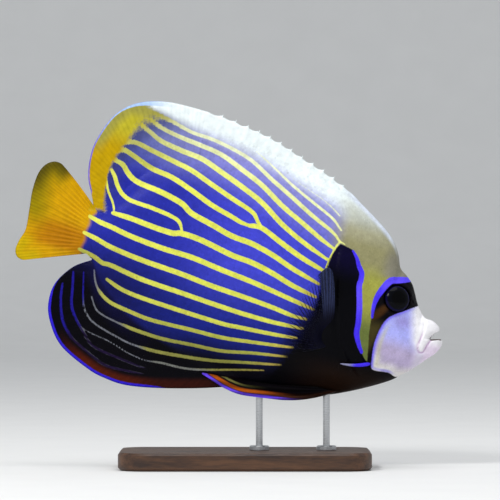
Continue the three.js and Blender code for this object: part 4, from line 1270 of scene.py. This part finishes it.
def lattice(pitch):
    """Scales in staggered rows over one side: place, half width, share of the fin's height and pitch."""
    fine = np.linspace(2.5, SNOUT_ROOT_X - 0.5, 4000)
    local = pitch * through(SCALE_SHARES)(fine)
    wanted = np.concatenate([[0], np.cumsum(np.diff(fine) / local[1:])])
    columns = np.interp(np.arange(0, wanted[-1], 0.5), wanted, fine)
    lines = cross_lines(columns)
    gone = lengths(lines)
    middle = FIN_SAMPLES + FLANK_SAMPLES // 2
    spots = []
    for i, own in enumerate(pitch * through(SCALE_SHARES)(columns)):
        step = ROW_STEP * own
        way = gone[i] - gone[i, middle]
        marks = np.arange(math.ceil(way[0] / step), math.floor(way[-1] / step))
        marks = marks[marks % 2 == i % 2] * step
        spot = [np.interp(marks, way, lines[key][i]) for key in ("x", "z", "half", "reach")]
        spots.append(np.stack([*spot, np.full(len(marks), own)], 1))
    return np.concatenate(spots)


def scale_spots(pitch):
    """The lattice's scales that lie clear of the eye, the nostrils and the outer part of the fins."""
    spots = lattice(pitch)
    x, z, half, reach, _ = spots.T
    wanted = (reach < 0.5) & (np.hypot(x - EYE_X, z - EYE_Z) > EYE_CLEARANCE) & (half > 0.5)
    for nx, nz, radius in NOSTRILS:
        wanted &= np.hypot(x - nx, z - nz) > radius + NOSTRIL_CLEARANCE
    return spots[wanted]


def rooted(spots, mesh):
    """Places and normals on the skin at the scales' roots, and the values of the skin there."""
    corners = [tuple(polygon.vertices) for polygon in mesh.polygons]
    tree = BVHTree.FromPolygons(places_of(mesh).tolist(), corners)
    centres, normals, indices, _ = zip(*[tree.find_nearest((x, -half, z)) for x, z, half, _, _ in spots])
    first = [corners[index][0] for index in indices]
    return np.array(centres), np.array(normals), values_of(mesh, "column", "row", "ray", "reach")[:, first]


def scale_points(centres, normals, reach, size, rise):
    """Points of every scale of one side: its rim, the middle of its face and its sunk root."""
    tailwards = np.tile((-1.0, 0.0, 0.0), (len(size), 1))
    tailwards[:, 2] += reach * np.sign(centres[:, 2]) * 1.6
    tailwards -= normals * (tailwards * normals).sum(1)[:, None]
    tailwards /= np.linalg.norm(tailwards, axis=1)[:, None]
    aside = np.cross(normals, tailwards)
    outline = np.array(SCALE_OUTLINE)
    lift = (outline[:, 0] + 0.2) / 0.95 - 0.9 * outline[:, 1] ** 2
    shape = np.concatenate([np.column_stack([outline, lift]), [SCALE_MIDDLE], [SCALE_ROOT]])
    points = centres[:, None]
    for column, reach_of, way in zip(shape.T, (size, size, rise), (tailwards, aside, normals)):
        points = points + column[None, :, None] * reach_of[:, None, None] * way[:, None]
    return points, shape


class ANGELFISH_OT_scales(bpy.types.Operator):
    """Lays overlapping scales over the skin, smaller on the head and on the roots of the fins"""

    bl_idname = "angelfish.scales"
    bl_label = "Scales"

    def execute(self, context):
        sizes = context.scene.angelfish_sizes
        pitch, rise = sizes.scale_pitch / MM, sizes.scale_rise / MM
        skin = bpy.data.objects["skin"]
        draw = np.random.default_rng(SCALE_SEED)
        spots = scale_spots(pitch)
        centres, normals, (column, row, ray, reach) = rooted(spots, skin.data)
        from_eye = np.hypot(spots[:, 0] - EYE_X, spots[:, 1] - EYE_Z)
        on_muzzle = smooth(muzzle_patch.inside(spots[:, 0], spots[:, 1], 30), -1, 5)
        size = spots[:, 4] * (1 - 0.2 * smooth(reach, 0.0, 0.5)) * draw.uniform(0.95, 1.05, len(spots))
        rise = rise * size / pitch * (1 - 0.7 * on_muzzle) * (0.3 + 0.7 * smooth(from_eye, 11, 16))
        points, shape = scale_points(centres, normals, reach, size, rise)
        count, corners, rim = len(size), len(shape), len(SCALE_OUTLINE)
        ring = np.arange(rim)
        after = (ring + 1) % rim
        middle, root = np.full(rim, rim), np.full(rim, rim + 1)
        faces = np.concatenate([np.stack([ring, after, middle], 1), np.stack([after, ring, root], 1)])
        unwrap = np.stack([column * 0.5, row], 1)[:, None] + shape[None, :, :2] * BAKE_PATCH
        flat = points.reshape(-1, 3)
        tables = markings(paints(context), flat[:, 0], flat[:, 2], np.zeros(len(flat)))
        tables["tone"] = np.repeat(draw.normal(0, SCALE_TONE_SPREAD, count), corners)
        tables["ray"] = np.repeat(ray, corners)
        tables["reach"] = np.zeros(len(flat))
        cuts = np.linspace(0, count, PIECES_A_SIDE + 1).astype(int)
        for word, side in SIDES:
            for number, (start, stop) in enumerate(zip(cuts[:-1], cuts[1:]), 1):
                chosen = points[start:stop].reshape(-1, 3) * (1, -side, 1)
                shift = (np.arange(stop - start) * corners)[:, None, None]
                triangles = (faces[None, :, ::-side] + shift).reshape(-1, 3)
                uv = unwrap[start:stop].reshape(-1, 2) + (0 if side < 0 else 0.5, 0)
                mesh = joined_mesh(f"scales_{word}_{number}", to_world(chosen), triangles, uv)
                put(mesh, {key: table[start * corners:stop * corners] for key, table in tables.items()})
                sharpen(mesh, lambda ends: (ends % corners < rim).all(1))
                piece = riding(mesh, skin.data.materials[0])
        return {"FINISHED"}


def flesh_half(x, z):
    """Half width of the flesh at points of the side view."""
    top, bottom = back_at(x), belly_at(x)
    height = np.clip(np.abs(2 * z - top - bottom) / (top - bottom), 0, 1)
    return width_at(x) * (1 - height ** SECTION_POWER) ** keel_at(x)


def cheek_frame(x, z, side):
    """Place on the cheek and the way straight out of it."""
    step = 0.5
    along_x = (flesh_half(x + step, z) - flesh_half(x - step, z)) / (2 * step)
    along_z = (flesh_half(x, z + step) - flesh_half(x, z - step)) / (2 * step)
    out = Vector((-along_x, side, -along_z)).normalized()
    return Vector((x, side * flesh_half(x, z), z)), out


class ANGELFISH_OT_eyes(bpy.types.Operator):
    """Makes the eyes: a flattened ball in each orbit with its iris and pupil"""

    bl_idname = "angelfish.eyes"
    bl_label = "Eyes"

    def execute(self, context):
        c = paints(context)
        sizes = context.scene.angelfish_sizes
        radius, depth, sunk = sizes.eye_radius / MM, sizes.eye_depth / MM, sizes.eye_sunk / MM
        finish = material("cornea_over_iris", eye_finish, c, CORNEA)
        for word, side in SIDES:
            bm = bmesh.new()
            bmesh.ops.create_uvsphere(bm, u_segments=56, v_segments=32, radius=1)
            place, out = cheek_frame(EYE_X, EYE_Z, side)
            turn = Vector((0, 0, 1)).rotation_difference(out).to_matrix()
            from_axis = []
            for vert in bm.verts:
                from_axis.append(math.hypot(vert.co.x, vert.co.y) + (2 if vert.co.z < 0 else 0))
                shaped = Vector((vert.co.x * radius, vert.co.y * radius, vert.co.z * depth))
                vert.co = Vector(to_world(place - out * sunk + turn @ shaped))
            eye = finished(bm, f"eyeball_{word}", finish)
            away = np.array(from_axis)
            put(eye.data, {"ground": painted(
                c.pupil,
                (c.iris, smooth(away, 0.5, 0.56)),
                (c.line * 0.04, smooth(away, 0.78, 0.86) * smooth(away, 0.95, 0.88)),
                (c.patch, smooth(away, 0.88, 0.96)),
            )})
            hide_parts(f"eye_{word}")
        return {"FINISHED"}


# Course of the cheek spine from its root: place, height off the cheek and share of its radius
CHEEK_SPINE = [
    (212, -33.9, -0.3, 1), (206, -36.6, 1.4, 0.95), (199, -38.6, 2.2, 0.7), (191.6, -39.7, 2.6, 0.35),
]


class ANGELFISH_OT_cheek_spines(bpy.types.Operator):
    """Makes the backward-pointing spine at the corner of each cheek"""

    bl_idname = "angelfish.cheek_spines"
    bl_label = "Cheek spines"

    def execute(self, context):
        c = paints(context)
        radius = context.scene.angelfish_sizes.cheek_spine_radius / MM
        finish = material("skin_over_spine_bone", spine_finish, c, WET_SKIN)
        for word, side in SIDES:
            keys = [
                (x, side * (flesh_half(x, z) + off), z, radius * share)
                for x, z, off, share in CHEEK_SPINE
            ]
            bm = bmesh.new()
            add_spine(bm, keys, along=40, around=18)
            spine = finished(bm, f"cheek_spine_{word}", finish)
            x = places_of(spine.data)[:, 0]
            put(spine.data, {"ground": blend(c.line, c.spine_tip, smooth(x, 203, 197))})
        return {"FINISHED"}


# Back spine from below its tip to past it: way down from the margin and radius
BACK_SPINE = [(7, 0.5), (4, 0.5), (1.6, 0.42), (-0.7, 0.14)]


class ANGELFISH_OT_back_spines(bpy.types.Operator):
    """Makes the spines of the back fin, which stand clear of its web at their tips"""

    bl_idname = "angelfish.back_spines"
    bl_label = "Back spines"

    def execute(self, context):
        c = paints(context)
        grid = np.linspace(DORSAL_FRONT_X, DORSAL_REAR_X, 800)
        share = np.arange(2, DORSAL_SPINES) / DORSAL_SPINES * SPINY_SHARE + 0.0005
        lines = cross_lines(np.interp(share, dorsal_share(grid), grid))
        bm = bmesh.new()
        for x, z in zip(lines["x"], lines["z"]):
            tip = np.array((x[-1], z[-1]))
            way = np.array((x[-FIN_SAMPLES], z[-FIN_SAMPLES])) - tip
            way /= np.linalg.norm(way)
            keys = [
                (tip[0] + way[0] * down, 0, tip[1] + way[1] * down, radius)
                for down, radius in BACK_SPINE
            ]
            add_spine(bm, keys, along=16, around=10)
        spines = finished(bm, "back_spines", material("bare_spine_bone", spine_finish, c, WET_SKIN))
        put(spines.data, {"ground": np.tile(c.white, (len(spines.data.vertices), 1))})
        return {"FINISHED"}


# Paired fins: margin from front to rear, root line, and the number of rays
PECTORAL_MARGIN = [
    (170.2, 17.6), (167.8, 21.4), (164.2, 22), (160.6, 17), (156, 8), (152, -5), (148.2, -19),
    (149.4, -31), (156, -41),
]
PECTORAL_ROOT = [
    (179.3, -12.8), (176.2, -16.5), (174, -20.2), (173.8, -24.5), (175.6, -28.3), (179.3, -30.9),
]
PECTORAL_RAYS = 26
PECTORAL_FRONT = 0.19
PELVIC_MARGIN = [
    (150, -77.2), (131.7, -80), (119, -78.8), (108, -75.6), (100.5, -72.9), (112, -71.5), (128, -70.5),
    (143, -68.5),
]
PELVIC_ROOT = [(194.5, -59.6), (181, -59.8)]
PELVIC_EDGE = [(198, -60.2), (190, -65.4), (180, -70.1), (168, -74.1), *PELVIC_MARGIN[:5]]
PELVIC_RAYS = 6


def rayed_leaf(root, margin, columns, rows, bow, crowding=1.0):
    """Side-view table of a fin from its root line to its margin, with its two shares."""
    share = np.linspace(0, 1, columns + 1)[:, None]
    t = np.linspace(0, 1, rows + 1)[None]
    start = Route(root).at(share[:, 0] ** crowding)
    way = Route(margin).at(share[:, 0]) - start
    aside = np.stack([-way[:, 1], way[:, 0]], -1) / np.linalg.norm(way, axis=1)[:, None]
    place = start[:, None] + way[:, None] * t[..., None]
    place = place + aside[:, None] * (bow(share) * 4 * t * (1 - t))[..., None]
    rim = np.sqrt(np.clip(1 - np.abs(2 * share - 1) ** 20, 0, 1)) * np.sqrt(np.clip((1 - t) * 12, 0, 1))
    x, z = np.moveaxis(place, -1, 0)
    return x, z, np.broadcast_to(share, x.shape), np.broadcast_to(t, x.shape), rim


class ANGELFISH_OT_pectoral_fins(bpy.types.Operator):
    """Makes the clear fins behind the gill covers"""

    bl_idname = "angelfish.pectoral_fins"
    bl_label = "Pectoral fins"

    def execute(self, context):
        c = paints(context)
        finish = material("clear_fin_web", web_finish, c, FIN_WEB)
        x, z, share, t, rim = rayed_leaf(
            PECTORAL_ROOT, PECTORAL_MARGIN, 130, 36, lambda s: -0.8 + 2 * s, crowding=0.6)
        off = flesh_half(x, z) + 0.9 + 9 * t ** 1.3 - 2 * (1 - t) ** 4
        half = (0.25 + 1.1 * (1 - t) ** 2) * rim
        for word, side in SIDES:
            values = {"ray": share * PECTORAL_RAYS, "share": share, "reach": t}
            fin = leaf(f"pectoral_{word}", finish, x, side * off, z, side * half, values)
            across_fin, along = values_of(fin.data, "share", "reach")
            smoky = smooth(across_fin, PECTORAL_FRONT + 0.04, PECTORAL_FRONT - 0.02)
            colour = blend(c.pectoral_dark, c.pectoral, smoky * smooth(along, 0.1, 0.5))
            clear = smooth(along, 0.15, 0.75) * (0.97 - 0.85 * smoky)
            put(fin.data, {"ground": colour, "clear": clear, "ink": smooth(along, 1.02, 0.6)})
            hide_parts(f"pectoral_fin_{word}")
        return {"FINISHED"}


class ANGELFISH_OT_pelvic_fins(bpy.types.Operator):
    """Makes the fins folded back along the belly"""

    bl_idname = "angelfish.pelvic_fins"
    bl_label = "Pelvic fins"

    def execute(self, context):
        c = paints(context)
        finish = material("folded_fin_web", web_finish, c, FIN_WEB)
        x, z, share, t, rim = rayed_leaf(PELVIC_ROOT, PELVIC_MARGIN, 60, 60, lambda s: 3.4 * (1 - s))
        off = 3.9 + 0.66 * flesh_half(x, z)
        ray = share * PELVIC_RAYS
        half = (0.3 + 0.7 * (1 - t) + 0.06 * np.cos(2 * math.pi * ray)) * rim
        for word, side in SIDES:
            fin = leaf(f"pelvic_{word}", finish, x, side * off, z, side * half, {"ray": ray})
            on_x, _, on_z = places_of(fin.data).T
            from_edge = Route(PELVIC_EDGE).nearest(on_x, on_z, 20)[0]
            thread = smooth(np.abs(from_edge - 7), 0.9, 0.4) * smooth(on_x, 150, 115)
            colour = painted(
                c.patch,
                (c.pelvic_brown, smooth(on_x, 140, 165) * smooth(from_edge, 6, 3)),
                (c.pelvic_orange, smooth(np.abs(from_edge - 3.7), 1.6, 0.8) * smooth(on_x, 172, 135)),
                (c.stripe_low_shaded, thread * 0.6),
                (c.pelvic_edge, smooth(from_edge, 2.2, 1.7) * smooth(on_x, 176, 150)),
            )
            put(fin.data, {"ground": colour, "clear": np.zeros(len(on_x))})
            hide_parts(f"pelvic_fin_{word}")
        return {"FINISHED"}


class ANGELFISH_OT_stand(bpy.types.Operator):
    """Finishes the stand: walnut base and brushed steel rods"""

    bl_idname = "angelfish.stand"
    bl_label = "Stand"

    def execute(self, context):
        c = paints(context)
        wood = material("oiled_walnut", wood_finish, c, OILED_WOOD)
        steel = material("brushed_stainless_steel", steel_finish, c, BARE_STEEL)
        for node, finish in (("stand_base", wood), ("stand_rod_front", steel), ("stand_rod_rear", steel)):
            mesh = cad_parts[node].data
            mesh.materials.clear()
            mesh.materials.append(finish)
        return {"FINISHED"}


# Floor swept up behind the model, in metres: half width, reach towards the camera, height
FLOOR_REACH = (5.0, 4.0, 3.0)
FLOOR_LEVEL = -0.0005
SWEEP_FROM = 3.2
SWEEP_RADIUS = 1.2
SWEEP_STEPS = 8

# Camera and light, in metres and watts: each lamp's place, size and power
CAMERA_DISTANCE = 3.0
CAMERA_X = 0.0155
CAMERA_Z = 0.1521
FIELD_WIDTH = 0.35
SENSOR_WIDTH = 36.0
CAMERA_REACH = 100
LIGHT_TARGET = (0.0, 0.0, 0.15)
LIGHTS = {"key_light": ((-0.9, -1.5, 1.5), 0.6, 22), "top_light": ((0.2, -0.3, 1.9), 1.4, 14)}
AIR_COLOUR = (0.92, 0.95, 1.0, 1)
AIR_STRENGTH = 0.55


def swept_floor():
    """Floor from behind the camera to behind the model, rolled up there into a backdrop."""
    bm = bmesh.new()
    near, far, height = FLOOR_REACH
    edge = [bm.verts.new((-near, -far, FLOOR_LEVEL)), bm.verts.new((near, -far, FLOOR_LEVEL))]
    strip = [bm.edges.new(edge)]
    bends = (np.arange(SWEEP_STEPS) + 0.5) * math.pi / 2 / SWEEP_STEPS
    chord = SWEEP_RADIUS * math.pi / 2 / SWEEP_STEPS
    steps = [(0, far + SWEEP_FROM, 0)]
    steps += [(0, chord * math.cos(bend), chord * math.sin(bend)) for bend in bends]
    for step in steps + [(0, 0, height)]:
        grown = bmesh.ops.extrude_edge_only(bm, edges=strip)["geom"]
        strip = [item for item in grown if isinstance(item, bmesh.types.BMEdge)]
        raised = [item for item in grown if isinstance(item, bmesh.types.BMVert)]
        bmesh.ops.translate(bm, verts=raised, vec=step)
    for face in bm.faces:
        face.smooth = True
    mesh = bpy.data.meshes.new("studio_floor")
    bm.to_mesh(mesh)
    bm.free()
    return mesh


def area_light(name, place, size, power):
    """Soft round light aimed at the model."""
    data = bpy.data.lights.new(name, "AREA")
    data.shape = "DISK"
    data.energy = power
    data.size = size
    lamp = bpy.data.objects.new(name, data)
    lamp.location = place
    lamp.rotation_euler = (Vector(LIGHT_TARGET) - Vector(place)).to_track_quat("-Z", "Y").to_euler()
    return lamp


def photo_camera():
    """Level camera straight across the fish's side."""
    data = bpy.data.cameras.new("camera")
    data.sensor_width = SENSOR_WIDTH
    data.lens = SENSOR_WIDTH * CAMERA_DISTANCE / FIELD_WIDTH
    data.clip_end = CAMERA_REACH
    camera = bpy.data.objects.new("camera", data)
    camera.location = (CAMERA_X, -CAMERA_DISTANCE, CAMERA_Z)
    camera.rotation_euler = (math.pi / 2, 0, 0)
    return camera


class ANGELFISH_OT_stage(bpy.types.Operator):
    """Makes the pale floor with its curved backdrop, the lights and the camera"""

    bl_idname = "angelfish.stage"
    bl_label = "Stage"

    def execute(self, context):
        scene = context.scene
        paper = material("matt_paper_backdrop", paper_finish, paints(context), MATT_PAPER)
        floor = bpy.data.objects.new("studio_floor", swept_floor())
        floor.data.materials.append(paper)
        scene.collection.objects.link(floor)
        for name, settings in LIGHTS.items():
            scene.collection.objects.link(area_light(name, *settings))
        world = bpy.data.worlds.new("studio_air")
        world.use_nodes = True
        air = world.node_tree.nodes["Background"]
        air.inputs["Color"].default_value = AIR_COLOUR
        air.inputs["Strength"].default_value = AIR_STRENGTH
        scene.world = world
        scene.view_settings.view_transform = "Standard"
        scene.camera = photo_camera()
        scene.collection.objects.link(scene.camera)
        return {"FINISHED"}


OPERATORS = (
    ANGELFISH_OT_skin, ANGELFISH_OT_scales, ANGELFISH_OT_eyes, ANGELFISH_OT_cheek_spines,
    ANGELFISH_OT_back_spines, ANGELFISH_OT_pectoral_fins, ANGELFISH_OT_pelvic_fins, ANGELFISH_OT_stand,
    ANGELFISH_OT_stage,
)


class ANGELFISH_PT_panel(bpy.types.Panel):
    """Lists the model's pieces with its sizes and colours"""

    bl_label = "Emperor angelfish"
    bl_idname = "ANGELFISH_PT_panel"
    bl_space_type = "VIEW_3D"
    bl_region_type = "UI"
    bl_category = "Angelfish"

    def draw(self, context):
        for operator in OPERATORS:
            self.layout.operator(operator.bl_idname)
        for group in (context.scene.angelfish_sizes, context.scene.angelfish_colours):
            for name in type(group).__annotations__:
                self.layout.prop(group, name)


CLASSES = (AngelfishColours, AngelfishSizes, *OPERATORS, ANGELFISH_PT_panel)


def register():
    for item in CLASSES:
        bpy.utils.register_class(item)
    bpy.types.Scene.angelfish_colours = PointerProperty(type=AngelfishColours)
    bpy.types.Scene.angelfish_sizes = PointerProperty(type=AngelfishSizes)


def unregister():
    del bpy.types.Scene.angelfish_sizes
    del bpy.types.Scene.angelfish_colours
    for item in reversed(CLASSES):
        bpy.utils.unregister_class(item)


def main():
    """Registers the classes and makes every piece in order."""
    register()
    for operator in OPERATORS:
        group, name = operator.bl_idname.split(".")
        getattr(getattr(bpy.ops, group), name)()


if __name__ == "__main__":
    main()
